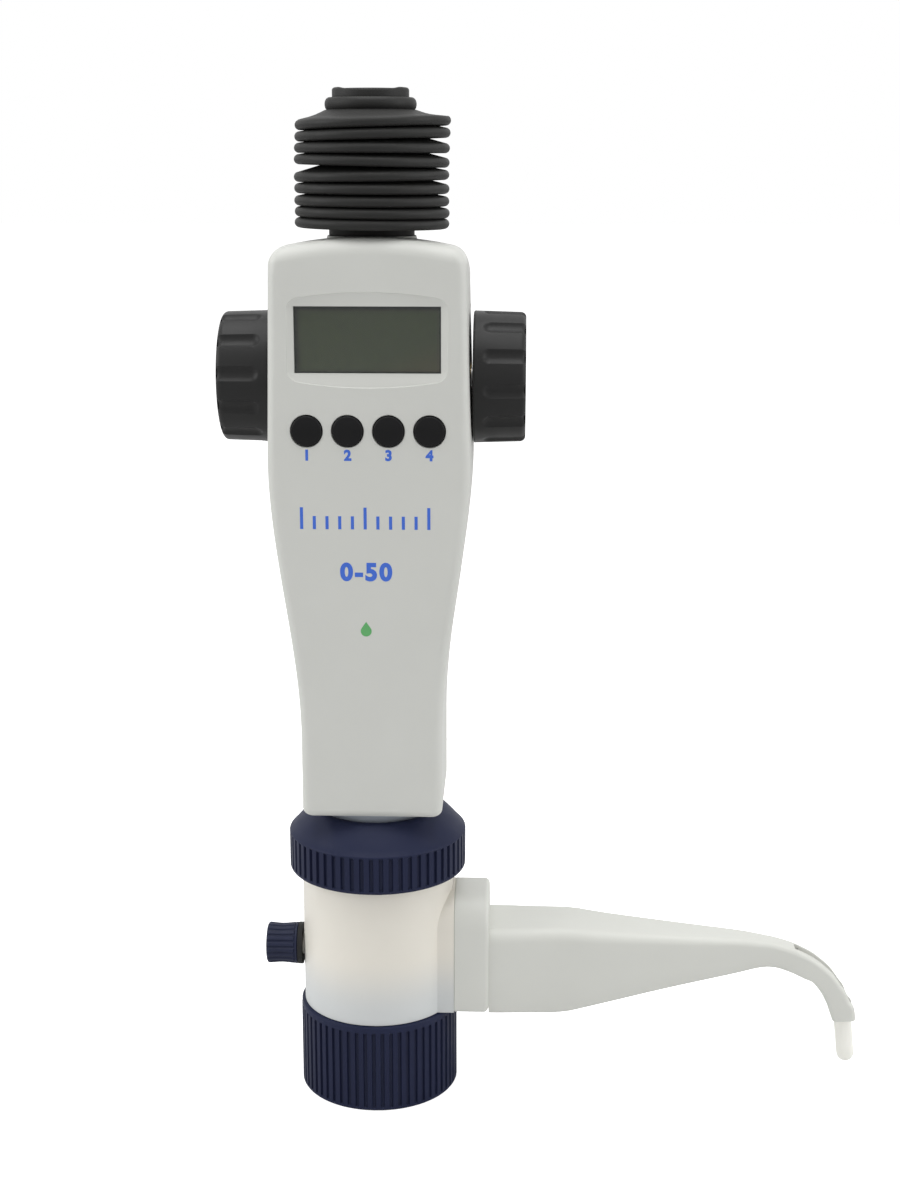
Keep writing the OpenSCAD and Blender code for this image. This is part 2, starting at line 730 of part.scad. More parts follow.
module piston_rod() {
    rack_z0 = layshaft_z - (rack_teeth + spare_teeth + 1) * PI * gear_module;
    rack_z1 = layshaft_z + spare_teeth * PI * gear_module + PI * gear_module / 2;
    color([0.8, 0.8, 0.82]) {
        difference() {
            union() {
                translate([0, 0, rod_z]) cylinder(r = rod_r, h = rod_top_z - rod_z);
                translate([0, 0, rod_z - stud_l]) cylinder(r = stud_r, h = stud_l + 1);
            }
            block_of([-rod_r - 1, rod_r + 1], [rack_y - tooth_ded, rod_r + 1], [rack_z0, rack_z1]);
            // Flat that passes the wheels' shaft
            block_of([-rod_r - 1, rod_r + 1], [rack_y + tooth_add, rod_r + 1],
                [rack_z1 - 1, rod_top_z + 1]);
        }
        // Rack teeth, with one centred level with the layshaft
        intersection() {
            for (k = [-rack_teeth - spare_teeth + 1:spare_teeth])
                side_slab(rack_tooth(layshaft_z + k * PI * gear_module), -rack_face / 2, rack_face / 2);
            translate([0, 0, rod_z]) cylinder(r = rod_r, h = rod_top_z - rod_z);
        }
    }
}
function rack_tooth(z) =
    let (half = PI * gear_module / 4 - tooth_thin, slope = tan(pressure_angle),
        root = half + tooth_ded * slope, tip = half - tooth_add * slope)
    [[rack_y - tooth_ded - 0.4, z - root], [rack_y - tooth_ded, z - root], [rack_y + tooth_add, z - tip],
     [rack_y + tooth_add, z + tip], [rack_y - tooth_ded, z + root], [rack_y - tooth_ded - 0.4, z + root]];

piston_skirt_r = bore_r - 0.3;
seal_groove_r = bore_r - 2.5;
seal_groove_z = piston_z + piston_h / 4;
seal_groove_h = piston_h / 3;
module piston() {
    color([0.93, 0.93, 0.9]) difference() {
        translate([0, 0, piston_z]) cylinder(r = piston_skirt_r, h = piston_h);
        translate([0, 0, seal_groove_z]) ring(bore_r + 2, seal_groove_r, seal_groove_h);
        translate([0, 0, rod_z - stud_l]) cylinder(r = stud_r, h = far);
    }
}
module piston_seal() {
    color([0.97, 0.97, 0.95]) translate([0, 0, seal_groove_z])
        ring(bore_r - fit_gap, seal_groove_r, seal_groove_h);
}

module bellows_cap() {
    color([0.1, 0.1, 0.1]) difference() {
        union() {
            translate([0, 0, rod_top_z]) cylinder(r = cap_plate_r, h = cap_plate_h);
            translate([0, 0, rod_top_z - cap_plug_h]) cylinder(r = bellows_bore_r - run_gap, h = cap_plug_h);
        }
        translate([0, 0, rod_top_z - cap_plug_h - 1]) cylinder(r = rod_r, h = cap_plug_h + 1);
    }
}

function bellows_edge() = concat(
    [[bellows_bore_r, bellows_z], [bellows_neck_r, bellows_z],
     [bellows_neck_r, bellows_z + bellows_neck_h]],
    [for (i = [0:fold_count - 1]) let (z = first_fold_z + i * fold_pitch) each concat(
        [[fold_root_r, z - fold_t / 2]],
        [for (a = [-75:30:75]) [bellows_r - fold_t / 2 + fold_t / 2 * cos(a), z + fold_t / 2 * sin(a)]],
        [[fold_root_r, z + fold_t / 2]])],
    [[bellows_r - 1, flare_z + 0.4], [fold_root_r + 1.5, flare_z + 2],
     [bellows_neck_r + 0.7, flare_z + flare_h],
     [bellows_neck_r + 0.7, bellows_top_z], [bellows_bore_r, bellows_top_z]]);
module bellows() {
    color([0.12, 0.12, 0.12]) rotate_extrude() polygon(bellows_edge());
}

module hand_wheel(side, phase) {
    x0 = head_half_w + side_gap;
    rim = 2.5;
    hub_r = 7;
    edge = 1.5;
    flute_r = (flute_w * flute_w / 4 + flute_depth * flute_depth) / 2 / flute_depth;
    flute_start = 3.4;
    color([0.2, 0.2, 0.2]) translate([0, shaft_y, shaft_z]) rotate([0, 0, side > 0 ? 0 : 180]) along_x()
        rotate([0, 0, phase]) translate([0, 0, x0]) difference() {
            rotate_extrude() polygon([[shaft_r, 0], [hub_r, 0], [hub_r, wheel_w - rim],
                [wheel_r - rim, wheel_w - rim], [wheel_r - rim, 0], [wheel_r, 0],
                [wheel_end_r, wheel_w - edge], [wheel_end_r - edge * 0.3, wheel_w - edge * 0.3],
                [wheel_end_r - edge, wheel_w], [0, wheel_w], [0, wheel_w - rim], [shaft_r, wheel_w - rim]]);
            for (i = [0:flute_count - 1])
                rotate([0, 0, i * 360 / flute_count])
                    translate([wheel_end_r - flute_depth + flute_r, 0, flute_start + flute_w / 2]) {
                        cylinder(r = flute_r, h = wheel_w);
                        sphere(r = flute_r);
                    }
        }
}
// The wheels' flutes stand a few degrees apart, as they were pressed on
module left_wheel() hand_wheel(-1, 0);
module right_wheel() hand_wheel(1, 5.7);

shaft_end_x = head_half_w + side_gap + wheel_w - 2.5;
module wheel_shaft() {
    color([0.7, 0.7, 0.72]) translate([-shaft_end_x, shaft_y, shaft_z]) along_x()
        cylinder(r = shaft_r, h = 2 * shaft_end_x);
}

// A gear on the x axis whose tooth i = 0 points at an angle above +Y
module gear_on_x(n, x, z, face, hole_r, tooth_at) {
    translate([x - face / 2, shaft_y, z]) rotate([90, 0, 90]) rotate([0, 0, tooth_at])
        gear(n, face, hole_r);
}
module drive_pinion() {
    color([0.75, 0.6, 0.3]) gear_on_x(pinion_teeth, gear_x, shaft_z, gear_face, shaft_r,
        -90 + 180 / pinion_teeth);
}
module encoder_disc() {
    color([0.15, 0.15, 0.15]) translate([disc_x - disc_t / 2, shaft_y, shaft_z]) along_x()
        difference() {
            ring(disc_r, shaft_r, disc_t);
            for (i = [0:disc_slots - 1]) rotate([0, 0, i * 360 / disc_slots])
                translate([disc_r - slot_l - 0.8, -slot_w / 2, -1]) cube([slot_l, slot_w, disc_t + 2]);
        }
}
module encoder_sensor() {
    foot_z = shaft_z - disc_r - 3.6;
    top_z = shaft_z - disc_r + 3.4;
    color([0.1, 0.1, 0.12]) difference() {
        block_of([disc_x - 4, left_plate_x], [shaft_y - 3.5, shaft_y + 3.5], [foot_z, top_z]);
        block_of([disc_x - 1.5, disc_x + 1.5], [shaft_y - 5, shaft_y + 5], [foot_z + 2.4, top_z + 1]);
    }
}

module layshaft() {
    color([0.7, 0.7, 0.72]) translate([left_plate_x - 1, shaft_y, layshaft_z]) along_x()
        cylinder(r = layshaft_r, h = right_plate_x + plate_t - left_plate_x + 2);
}
module reduction_gear() {
    color([0.9, 0.9, 0.85]) gear_on_x(gear_teeth, gear_x, layshaft_z, gear_face, layshaft_r, 90);
}
module rack_pinion() {
    color([0.75, 0.6, 0.3]) gear_on_x(pinion_teeth, 0, layshaft_z, rack_face, layshaft_r,
        180 + 180 / pinion_teeth);
}

// ---- Batteries ----

module battery_tray() {
    color([0.15, 0.15, 0.15]) {
        difference() {
            block_of([-tray_half_w, tray_half_w], [tray_y, tray_back_y], tray_z);
            block_of([-tray_half_w + tray_wall, tray_half_w - tray_wall],
                [tray_y + tray_wall, tray_back_y + 1], [tray_z[0] + tray_wall, tray_z[1] - tray_wall]);
        }
        // Tabs that seat on the inside of the rear shell
        for (s = [-1, 1], z = tray_tabs)
            block_of(s > 0 ? [tray_half_w - 0.5, tray_half_w + tray_tab_w]
                : [-tray_half_w - tray_tab_w, -tray_half_w + 0.5],
                [head_back_d - wall - tray_tab_t, head_back_d - wall], z);
    }
}
module battery_cells() {
    nub_r = 1.9;
    nub_l = 1;
    color([0.25, 0.4, 0.3]) for (i = [0, 1])
        translate([0, cell_y, cell_z[i]]) rotate([0, 0, i * 180]) {
            translate([-cell_l / 2, 0, 0]) along_x() cylinder(r = cell_r, h = cell_l - nub_l);
            translate([cell_l / 2 - nub_l - 0.5, 0, 0]) along_x() cylinder(r = nub_r, h = nub_l + 0.5);
        }
}
module battery_contacts() {
    color([0.8, 0.8, 0.8]) for (s = [-1, 1])
        block_of(s > 0 ? [cell_l / 2, cell_l / 2 + contact_t + cell_gap]
            : [-cell_l / 2 - contact_t - cell_gap, -cell_l / 2],
            [cell_y - 3.5, cell_y + 3.5], [cell_z[0] - 3.5, cell_z[1] + 3.5]);
}
module battery_door() {
    color([0.73, 0.735, 0.72]) {
        block_of([-door_half_w, door_half_w], [head_back_d - door_t, head_back_d], [hinge_z, door_top_z]);
        translate([-door_half_w, hinge_y, hinge_z]) along_x() cylinder(r = hinge_r, h = 2 * door_half_w);
        translate([-door_half_w - 1.6, hinge_y, hinge_z]) along_x()
            cylinder(r = hinge_pin_r, h = 2 * door_half_w + 3.2);
    }
}

// ---- Foot, nut and valve block ----

module cylinder_foot() {
    color([0.5, 0.52, 0.56]) difference() {
        union() {
            translate([0, 0, block_top_z]) cylinder(r = block_r - 0.85, h = foot_flange_h);
            translate([0, 0, block_top_z]) cylinder(r = foot_r, h = foot_top_z - block_top_z);
            // Collar that the housing's floor rests on
            translate([0, 0, body_z - 0.9]) cylinder(r = foot_r + 0.3, h = 0.9);
        }
        translate([0, 0, block_top_z - 1]) cylinder(r = glass_r + fit_gap, h = far);
    }
}

module union_nut() {
    in_r = block_r - 0.4;
    color([0.14, 0.15, 0.24]) difference() {
        intersection() {
            translate([0, 0, nut_z]) rotate_extrude() polygon([[0, run_gap],
                [nut_r - 0.1, run_gap], [nut_r, 1], [nut_r, nut_band_h - 0.6],
                [nut_r - 0.4, nut_band_h], [nut_top_r, nut_band_h + nut_cone_h],
                [0, nut_band_h + nut_cone_h]]);
            union() {
                translate([0, 0, nut_z - 1]) linear_extrude(nut_band_h + nut_cone_h + 2)
                    polygon(knurl(nut_r, knurl_depth, knurl_count));
                translate([0, 0, nut_z]) cylinder(r = nut_r - 0.1, h = 1.2);
            }
        }
        translate([0, 0, nut_z - 1]) cylinder(r = in_r, h = nut_shoulder_z - nut_z + 1);
        translate([0, 0, nut_z]) cylinder(r = foot_r + 0.5, h = far);
    }
}

module valve_block() {
    color([0.86, 0.85, 0.82]) difference() {
        union() {
            translate([0, 0, block_z]) cylinder(r = block_r, h = block_h);
            translate([0, 0, retainer_z + retainer_h])
                cylinder(r = neck_r, h = block_z - retainer_z - retainer_h + 1);
            translate([0, 0, nut_z - 1]) cylinder(r = block_r - 1.75, h = top_thread_h + 1);
            for (i = [0:2])
                translate([0, 0, nut_z + 1 + i * 2.6]) rotate_extrude()
                    polygon([[10, 0], [block_r - 1.8, 0], [block_r - 0.7, 0.6], [block_r - 0.7, 1],
                        [block_r - 1.8, 1.6], [10, 1.6]]);
            intersection() {
                block_of([0, base_x], [-base_half_w, base_half_w], [block_z, block_z + base_h]);
                translate([0, 0, block_z]) along_x()
                    rounded_plate(base_half_w, base_h, base_corner_r, base_x);
            }
        }
        // Filling socket, inlet chamber and riser
        translate([0, 0, block_z - 20]) cylinder(r = fill_r, h = 20 + seat_z - block_z);
        translate([0, 0, seat_z - 0.01]) cylinder(r = chamber_r + 1.6, h = seat_h + 0.01);
        translate([0, 0, seat_z]) cylinder(r = chamber_r, h = chamber_top_z - seat_z);
        translate([0, 0, seat_z]) cylinder(r = channel_r, h = far);
        // Seal groove in the top
        translate([0, 0, block_top_z - seal_h]) ring(glass_r + 0.5, bore_r - 0.5, seal_h + 1);
        // Outlet channel and valve pocket
        translate([0, 0, outlet_z]) along_x() cylinder(r = channel_r, h = block_r);
        translate([valve_x, 0, outlet_z]) along_x() cylinder(r = valve_r, h = far);
        // Vent pocket and channel down to the bottle
        translate([-block_r - 1, 0, vent_z]) along_x() cylinder(r = vent_r, h = 7);
        translate([-block_r, 0, vent_z]) along_x() cylinder(r = vent_bore_r, h = block_r - vent_down_x);
        translate([-vent_down_x, 0, retainer_z]) cylinder(r = vent_bore_r, h = vent_z - retainer_z);
        for (p = base_screw_places)
            translate([base_x - 8, p[0], p[1]]) along_x() cylinder(r = screw_r, h = 20);
    }
}

// Plate with round upper corners, standing on y = 0 when turned along x
module rounded_plate(half, h, r, t) {
    rotate([0, 0, 90]) linear_extrude(t) intersection() {
        translate([-half, 0]) square([2 * half, h]);
        union() {
            translate([-half, 0]) square([2 * half, h - r]);
            translate([-half + r, 0]) square([2 * (half - r), h]);
            for (s = [-1, 1]) translate([s * (half - r), h - r]) circle(r = r);
        }
    }
}

module cylinder_seal() {
    color([0.95, 0.95, 0.92]) translate([0, 0, block_top_z - seal_h])
        ring(glass_r + 0.5, bore_r - 0.5, seal_h);
}

module retainer_ring() {
    color([0.93, 0.93, 0.9]) difference() {
        translate([0, 0, retainer_z]) cylinder(r = thread_crest_r - 0.5, h = retainer_h);
        translate([0, 0, retainer_z - 1]) cylinder(r = fill_r, h = far);
        translate([-vent_down_x, 0, retainer_z - 1]) cylinder(r = vent_bore_r, h = far);
    }
}

module bottle_collar() {
    recess_z = thread_turns * thread_pitch + 1.6;
    lip_z = collar_h - collar_lip_h;
    color([0.14, 0.16, 0.24]) difference() {
        intersection() {
            cylinder(r = collar_r, h = collar_h);
            union() {
                linear_extrude(collar_h) polygon(knurl(collar_r, knurl_depth, knurl_count));
                translate([0, 0, collar_h - collar_band_h])
                    cylinder(r = collar_r - 0.15, h = collar_band_h);
            }
        }
        translate([0, 0, -1]) cylinder(r = thread_crest_r, h = lip_z + 1);
        for (i = [0:thread_turns - 1])
            translate([0, 0, i * thread_pitch + 1.6]) rotate_extrude()
                polygon([[thread_crest_r - 1, 0], [thread_crest_r, 0],
                    [thread_crest_r + thread_depth, thread_pitch * 0.15],
                    [thread_crest_r + thread_depth, thread_pitch * 0.45],
                    [thread_crest_r, thread_pitch * 0.6], [thread_crest_r - 1, thread_pitch * 0.6]]);
        translate([0, 0, recess_z]) cylinder(r = thread_crest_r + 0.6, h = lip_z - recess_z);
        translate([0, 0, -1]) cylinder(r = neck_r + run_gap, h = collar_h + 2);
    }
}

module inlet_valve_seat() {
    color([0.95, 0.95, 0.92]) translate([0, 0, seat_z]) ring(chamber_r + 1.6, seat_hole_r, seat_h);
}
module inlet_ball() {
    color([0.6, 0.6, 0.62]) translate([0, 0, inlet_ball_z]) sphere(r = inlet_ball_r);
}

module outlet_valve_body() {
    color([0.93, 0.93, 0.9]) translate([valve_x, 0, outlet_z]) along_x() difference() {
        union() {
            cylinder(r = valve_r, h = valve_l);
            translate([0, 0, valve_l - 1]) cylinder(r = spigot_r, h = spigot_l + 1);
        }
        translate([0, 0, -1]) cylinder(r = outlet_hole_r, h = 10);
        translate([0, 0, valve_floor]) cylinder(r = outlet_chamber_r, h = valve_l - valve_floor - 2);
        translate([0, 0, 1]) cylinder(r = tube_r, h = far);
    }
}
module outlet_ball() {
    color([0.6, 0.6, 0.62]) translate([outlet_ball_x, 0, outlet_z]) sphere(r = outlet_ball_r);
}
module outlet_spring() {
    x0 = outlet_ball_x + outlet_ball_r + outlet_travel + spring_wire_r + 0.1;
    x1 = valve_x + valve_l - 2 - spring_wire_r - fit_gap;
    steps = spring_turns * 12;
    color([0.7, 0.7, 0.7]) coil(x0, x1, spring_r, spring_wire_r, steps, 6);
}
module coil(x0, x1, r, wire_r, steps, sides) {
    points = [for (i = [0:steps], j = [0:sides - 1])
        let (a = i * 30, b = j * 360 / sides, rr = r + wire_r * cos(b))
        [x0 + (x1 - x0) * i / steps + wire_r * sin(b), rr * cos(a), outlet_z + rr * sin(a)]];
    faces = concat([[for (j = [0:sides - 1]) j]],
        [for (i = [0:steps - 1], j = [0:sides - 1]) let (k = (j + 1) % sides)
            [i * sides + j, (i + 1) * sides + j, (i + 1) * sides + k, i * sides + k]],
        [[for (j = [sides - 1:-1:0]) steps * sides + j]]);
    polyhedron(points, faces, convexity = 8);
}

// ---- Vent ----

module vent_port() {
    color([0.86, 0.85, 0.82]) translate([-block_r - nipple_l, 0, vent_z]) along_x()
        ring(vent_r, vent_bore_r, nipple_l + 6);
}
module vent_washer() {
    color([0.08, 0.08, 0.08]) translate([-washer_x - washer_t, 0, vent_z]) along_x()
        ring(vent_cap_r + 0.1, vent_r + run_gap, washer_t);
}
module vent_cap() {
    bore_l = vent_cap_l - 2.2;
    color([0.18, 0.2, 0.3]) translate([-vent_cap_x, 0, vent_z]) against_x() difference() {
        linear_extrude(vent_cap_l) polygon(knurl(vent_cap_r, 0.4, vent_ribs));
        translate([0, 0, -1]) cylinder(r = vent_r + run_gap, h = bore_l + 1);
    }
}

// ---- Outlet base, spout cover, tube and nozzle ----

module outlet_base() {
    color([0.82, 0.82, 0.8]) difference() {
        translate([base_x, 0, block_z]) intersection() {
            along_x() rounded_plate(base_half_w, base_h, base_corner_r, base_t);
            block_of([0, base_t], [-20, 20], [0, base_h]);
        }
        translate([base_x - 1, 0, outlet_z]) along_x()
            cylinder(r = valve_r, h = valve_x + valve_l - base_x + 1);
        translate([base_x, 0, outlet_z]) along_x() cylinder(r = spigot_r, h = far);
        for (p = base_screw_places) {
            translate([base_x - 1, p[0], p[1]]) along_x() cylinder(r = screw_r + 0.1, h = far);
            translate([arm_x - screw_sink, p[0], p[1]]) along_x()
                cylinder(r = screw_head_r + head_clear, h = far);
        }
    }
}
module base_screws() {
    color([0.7, 0.7, 0.72]) for (p = base_screw_places)
        translate([base_x - 7, p[0], p[1]]) along_x() {
            cylinder(r = screw_r, h = 7 + base_t - screw_sink);
            translate([0, 0, 7 + base_t - screw_sink]) cylinder(r = screw_head_r, h = screw_head_h);
        }
}

arm_plan_x = [arm_x - 1, arm_x + 28, arm_x + 96, tip_x + 8];
function arm_plan(inset) = [[arm_plan_x[0], -arm_half_d + inset], [arm_plan_x[1], -arm_half_d + 1.5 + inset],
    [arm_plan_x[2], -tip_half_d + inset], [arm_plan_x[3], -tip_half_d + inset],
    [arm_plan_x[3], tip_half_d - inset], [arm_plan_x[2], tip_half_d - inset],
    [arm_plan_x[1], arm_half_d - 1.5 - inset], [arm_plan_x[0], arm_half_d - inset]];
module arm_outline() polygon([for (p = concat(arm_top_edge, arm_bottom_edge)) at(p)]);

module spout_cover() {
    color([0.8, 0.8, 0.78]) difference() {
        intersection() {
            translate([0, arm_half_d, 0]) against_y() linear_extrude(2 * arm_half_d) arm_outline();
            linear_extrude(200) polygon(arm_plan(0));
        }
        // Hollow, open at the root
        intersection() {
            translate([0, arm_half_d, 0]) against_y() linear_extrude(2 * arm_half_d) union() {
                offset(delta = -arm_wall) arm_outline();
                translate([arm_x - 1, arm_foot_z + arm_wall])
                    square([3, arm_top_z - arm_foot_z - 2 * arm_wall]);
            }
            linear_extrude(200) polygon(arm_plan(arm_wall));
            block_of([arm_x - 5, channel_x], [-30, 30], [0, 200]);
        }
        // Channel for the tube on the outside of the bend
        translate([0, channel_half_w, 0]) against_y() linear_extrude(2 * channel_half_w)
            channel_outline();
    }
}
module channel_outline() {
    route = smooth_route(tube_route, 3);
    inner = [for (i = [0:len(route) - 1]) if (at(route[i])[0] > channel_x - 4)
        let (d = route[min(i + 1, len(route) - 1)] - route[i - 1], n = [-d[1], d[0]] / norm(d))
        at(route[i] - n * channel_half_w)];
    outer = [for (i = [len(route) - 1:-1:0]) if (at(route[i])[0] > channel_x - 4)
        let (d = route[min(i + 1, len(route) - 1)] - route[i - 1], n = [-d[1], d[0]] / norm(d))
        at(route[i] + n * 9)];
    polygon(concat(inner, outer));
}

module discharge_tube() {
    color([0.93, 0.93, 0.9, 0.8])
        swept_tube([for (p = smooth_route(tube_route, 3)) at(p)], tube_r, tube_r * 0.6, 12);
}

module nozzle_cap() {
    color([0.92, 0.92, 0.88]) translate([nozzle_at[0], 0, nozzle_at[1]]) rotate([0, 180 - nozzle_tilt, 0])
        difference() {
            union() {
                cylinder(r = cap_r, h = cap_l - cap_r);
                translate([0, 0, cap_l - cap_r]) sphere(r = cap_r);
            }
            translate([0, 0, -1]) cylinder(r = tube_r + run_gap, h = cap_l - 3);
        }
}

// ---- One line for each piece ----

front_shell();
rear_shell();
display_window();
lcd_panel();
circuit_board();
board_screws();
key_switches();
housing_screws();
gear_frame();
shaft_bushes();
rod_guide();
bellows();
glass_cylinder();
cylinder_foot();
cylinder_seal();
valve_block();
retainer_ring();
inlet_valve_seat();
outlet_valve_body();
outlet_spring();
outlet_base();
base_screws();
spout_cover();
discharge_tube();
vent_port();
battery_tray();
battery_cells();
battery_contacts();
encoder_sensor();
left_wheel();
right_wheel();
wheel_shaft();
drive_pinion();
encoder_disc();
layshaft();
reduction_gear();
rack_pinion();
piston_rod();
piston();
piston_seal();
bellows_cap();
key_1();
key_2();
key_3();
key_4();
inlet_ball();
outlet_ball();
bottle_collar();
union_nut();
vent_washer();
vent_cap();
nozzle_cap();
battery_door();
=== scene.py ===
import math

import bmesh
import bpy
from mathutils import Matrix, Vector


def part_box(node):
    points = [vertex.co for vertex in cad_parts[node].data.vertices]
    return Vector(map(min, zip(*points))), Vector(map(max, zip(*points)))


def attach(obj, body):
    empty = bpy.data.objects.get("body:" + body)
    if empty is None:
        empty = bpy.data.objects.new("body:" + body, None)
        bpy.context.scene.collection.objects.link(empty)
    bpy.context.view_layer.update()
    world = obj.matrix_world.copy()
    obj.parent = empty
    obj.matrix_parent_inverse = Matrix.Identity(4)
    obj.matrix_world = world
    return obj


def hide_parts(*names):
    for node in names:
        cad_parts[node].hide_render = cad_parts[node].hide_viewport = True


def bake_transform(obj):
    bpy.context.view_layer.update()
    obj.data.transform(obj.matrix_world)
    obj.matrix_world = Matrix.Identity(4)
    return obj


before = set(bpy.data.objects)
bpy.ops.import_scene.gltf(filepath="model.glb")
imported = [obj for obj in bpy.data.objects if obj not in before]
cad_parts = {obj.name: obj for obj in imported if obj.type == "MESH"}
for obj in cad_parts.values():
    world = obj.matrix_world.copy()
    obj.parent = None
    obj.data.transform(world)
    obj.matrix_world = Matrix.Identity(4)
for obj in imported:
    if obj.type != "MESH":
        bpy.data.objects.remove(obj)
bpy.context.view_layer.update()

scene = bpy.context.scene

# Camera: on a stand a little above the display and half a metre in front of it,
# turned slightly to the left and tipped down, as the photograph was taken.
def placed(data):
    """Adds an object of the same name for a mesh, a lamp, a camera or lettering."""
    made = bpy.data.objects.new(data.name, data)
    scene.collection.objects.link(made)
    return made


def aimed(made, position, way):
    """Puts a camera or a lamp in its place and turns it to look along a direction."""
    made.location = position
    made.rotation_mode = "QUATERNION"
    made.rotation_quaternion = Vector(way).to_track_quat("-Z", "Y")


camera = placed(bpy.data.cameras.new("camera"))
aimed(camera, (0.0463, -0.5850, 0.3153), (-0.0359, 0.9707, -0.2375))
camera.data.lens = 54.66
camera.data.sensor_width = 36
scene.camera = camera

# Bottle collar: the dark blue threaded ring that screws on the bottle's neck.
# Moulded in one piece, with narrow knurl grooves outside, a plain band on top
# and a four-turn thread inside. It turns freely on the valve block's neck.
MM = 0.001


def sides(node):
    """Lowest and highest corner of a CAD node, in millimetres."""
    low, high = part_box(node)
    return low / MM, high / MM


def feed(tree, step, **sockets):
    """Links or sets sockets by name, with _ for a space, or by number as i0 and i1."""
    for key, value in sockets.items():
        by_number = key[0] == "i" and key[1:].isdigit()
        spot = step.inputs[int(key[1:]) if by_number else key.replace("_", " ")]
        if isinstance(value, bpy.types.NodeSocket):
            tree.links.new(value, spot)
        else:
            spot.default_value = value
    return step


def wire(tree, kind, settings=None, **sockets):
    """Adds a shader node with its settings and sockets."""
    step = tree.nodes.new("ShaderNode" + kind)
    for key, value in (settings or {}).items():
        setattr(step, key, value)
    return feed(tree, step, **sockets)


def maths(tree, operation, *values):
    """Adds a sum on sockets or numbers and gives its result."""
    step = wire(tree, "Math", {"operation": operation})
    return feed(tree, step, **{"i%d" % i: value for i, value in enumerate(values)}).outputs[0]


def effect(name, inputs, outputs):
    """A shader node group with named inputs and outputs, what it is given and its end node."""
    tree = bpy.data.node_groups.new(name, "ShaderNodeTree")
    for way, sockets in (("INPUT", inputs), ("OUTPUT", outputs)):
        for label, kind in sockets:
            tree.interface.new_socket(label, in_out=way, socket_type="NodeSocket" + kind)
    return tree, tree.nodes.new("NodeGroupInput").outputs, tree.nodes.new("NodeGroupOutput")


# Moulded surface: slow changes of tone, uneven gloss and a fine grain in the skin
moulded, given, result = effect(
    "moulded_surface",
    [("Color", "Color"), ("Spread", "Float"), ("Roughness", "Float"), ("Unevenness", "Float"),
     ("Grain Size", "Float"), ("Grain Depth", "Float")],
    [("Color", "Color"), ("Roughness", "Float"), ("Normal", "Vector")])
place = wire(moulded, "TexCoord").outputs["Object"]
tone = wire(moulded, "TexNoise", Vector=place, Scale=38, Detail=4)
bright = wire(moulded, "MapRange", Value=tone.outputs["Fac"], From_Min=0.3, From_Max=0.7,
              To_Min=maths(moulded, "SUBTRACT", 1.0, given["Spread"]),
              To_Max=maths(moulded, "ADD", 1.0, given["Spread"]))
toned = wire(moulded, "VectorMath", {"operation": "SCALE"}, i0=given["Color"],
             Scale=bright.outputs["Result"])
gloss = wire(moulded, "TexNoise", Vector=place, Scale=170, Detail=5)
gloss_off = maths(moulded, "SUBTRACT", gloss.outputs["Fac"], 0.5)
gloss_now = maths(moulded, "MULTIPLY_ADD", gloss_off, given["Unevenness"], given["Roughness"])
grain = wire(moulded, "TexNoise", Vector=place, Detail=2,
             Scale=maths(moulded, "DIVIDE", 1.0, given["Grain Size"]))
skin = wire(moulded, "Bump", Height=grain.outputs["Fac"], Distance=given["Grain Depth"])
feed(moulded, result, Color=toned.outputs[0], Roughness=gloss_now, Normal=skin.outputs["Normal"])

# Height tint: fades from one colour to another between two heights
height_tint, given, result = effect(
    "height_tint",
    [("Low", "Float"), ("High", "Float"), ("Low Color", "Color"), ("High Color", "Color")],
    [("Color", "Color")])
place = wire(height_tint, "TexCoord").outputs["Object"]
height = wire(height_tint, "SeparateXYZ", Vector=place).outputs["Z"]
share = wire(height_tint, "MapRange", {"interpolation_type": "SMOOTHSTEP"}, Value=height,
             From_Min=given["Low"], From_Max=given["High"])
tint = wire(height_tint, "Mix", {"data_type": "RGBA"}, i0=share.outputs["Result"],
            i6=given["Low Color"], i7=given["High Color"])
feed(height_tint, result, Color=tint.outputs[2])


def use(tree, group, **sockets):
    """Places a shared effect in a material and sets its inputs."""
    step = tree.nodes.new("ShaderNodeGroup")
    step.node_tree = group
    return feed(tree, step, **sockets)


def coat(tree, colour, skin, **values):
    """Joins a colour and a skin to the material's shader, and sets its plain values."""
    feed(tree, tree.nodes["Principled BSDF"], Base_Color=colour.outputs["Color"],
         Roughness=skin.outputs["Roughness"], Normal=skin.outputs["Normal"], **values)


def rgb(r, g, b):
    """A colour read off as 0 to 255, as Blender's linear value."""
    return tuple([(c / 255 / 12.92) if c <= 10 else ((c / 255 + 0.055) / 1.055) ** 2.4
                  for c in (r, g, b)] + [1.0])


def surface(name, colour, roughness, spread=0.03, unevenness=0.12, grain=0.0004,
            depth=0.00001, **values):
    """A finish with tone, gloss and grain. A colour may be a function that makes its nodes."""
    material = bpy.data.materials.new(name)
    material.use_nodes = True
    tree = material.node_tree
    skin = use(tree, moulded, Color=colour(tree) if callable(colour) else colour, Spread=spread,
               Roughness=roughness, Unevenness=unevenness, Grain_Size=grain, Grain_Depth=depth)
    coat(tree, skin, skin, **values)
    return material


def mesh_of(name, rings, ends="cap", sharp=35):
    """A mesh through rings of equal length; its ends are capped, or looped together."""
    n, count = len(rings[0]), len(rings)
    faces = []
    for i in range(count if ends == "loop" else count - 1):
        a, b = i * n, (i + 1) % count * n
        faces += [(a + j, a + (j + 1) % n, b + (j + 1) % n, b + j) for j in range(n)]
    if ends == "cap":
        faces += [tuple(range(n))[::-1], tuple(range((count - 1) * n, count * n))]
    mesh = bpy.data.meshes.new(name)
    mesh.from_pydata([Vector(p) * MM for ring in rings for p in ring], [], faces)
    return settled(mesh, sharp)


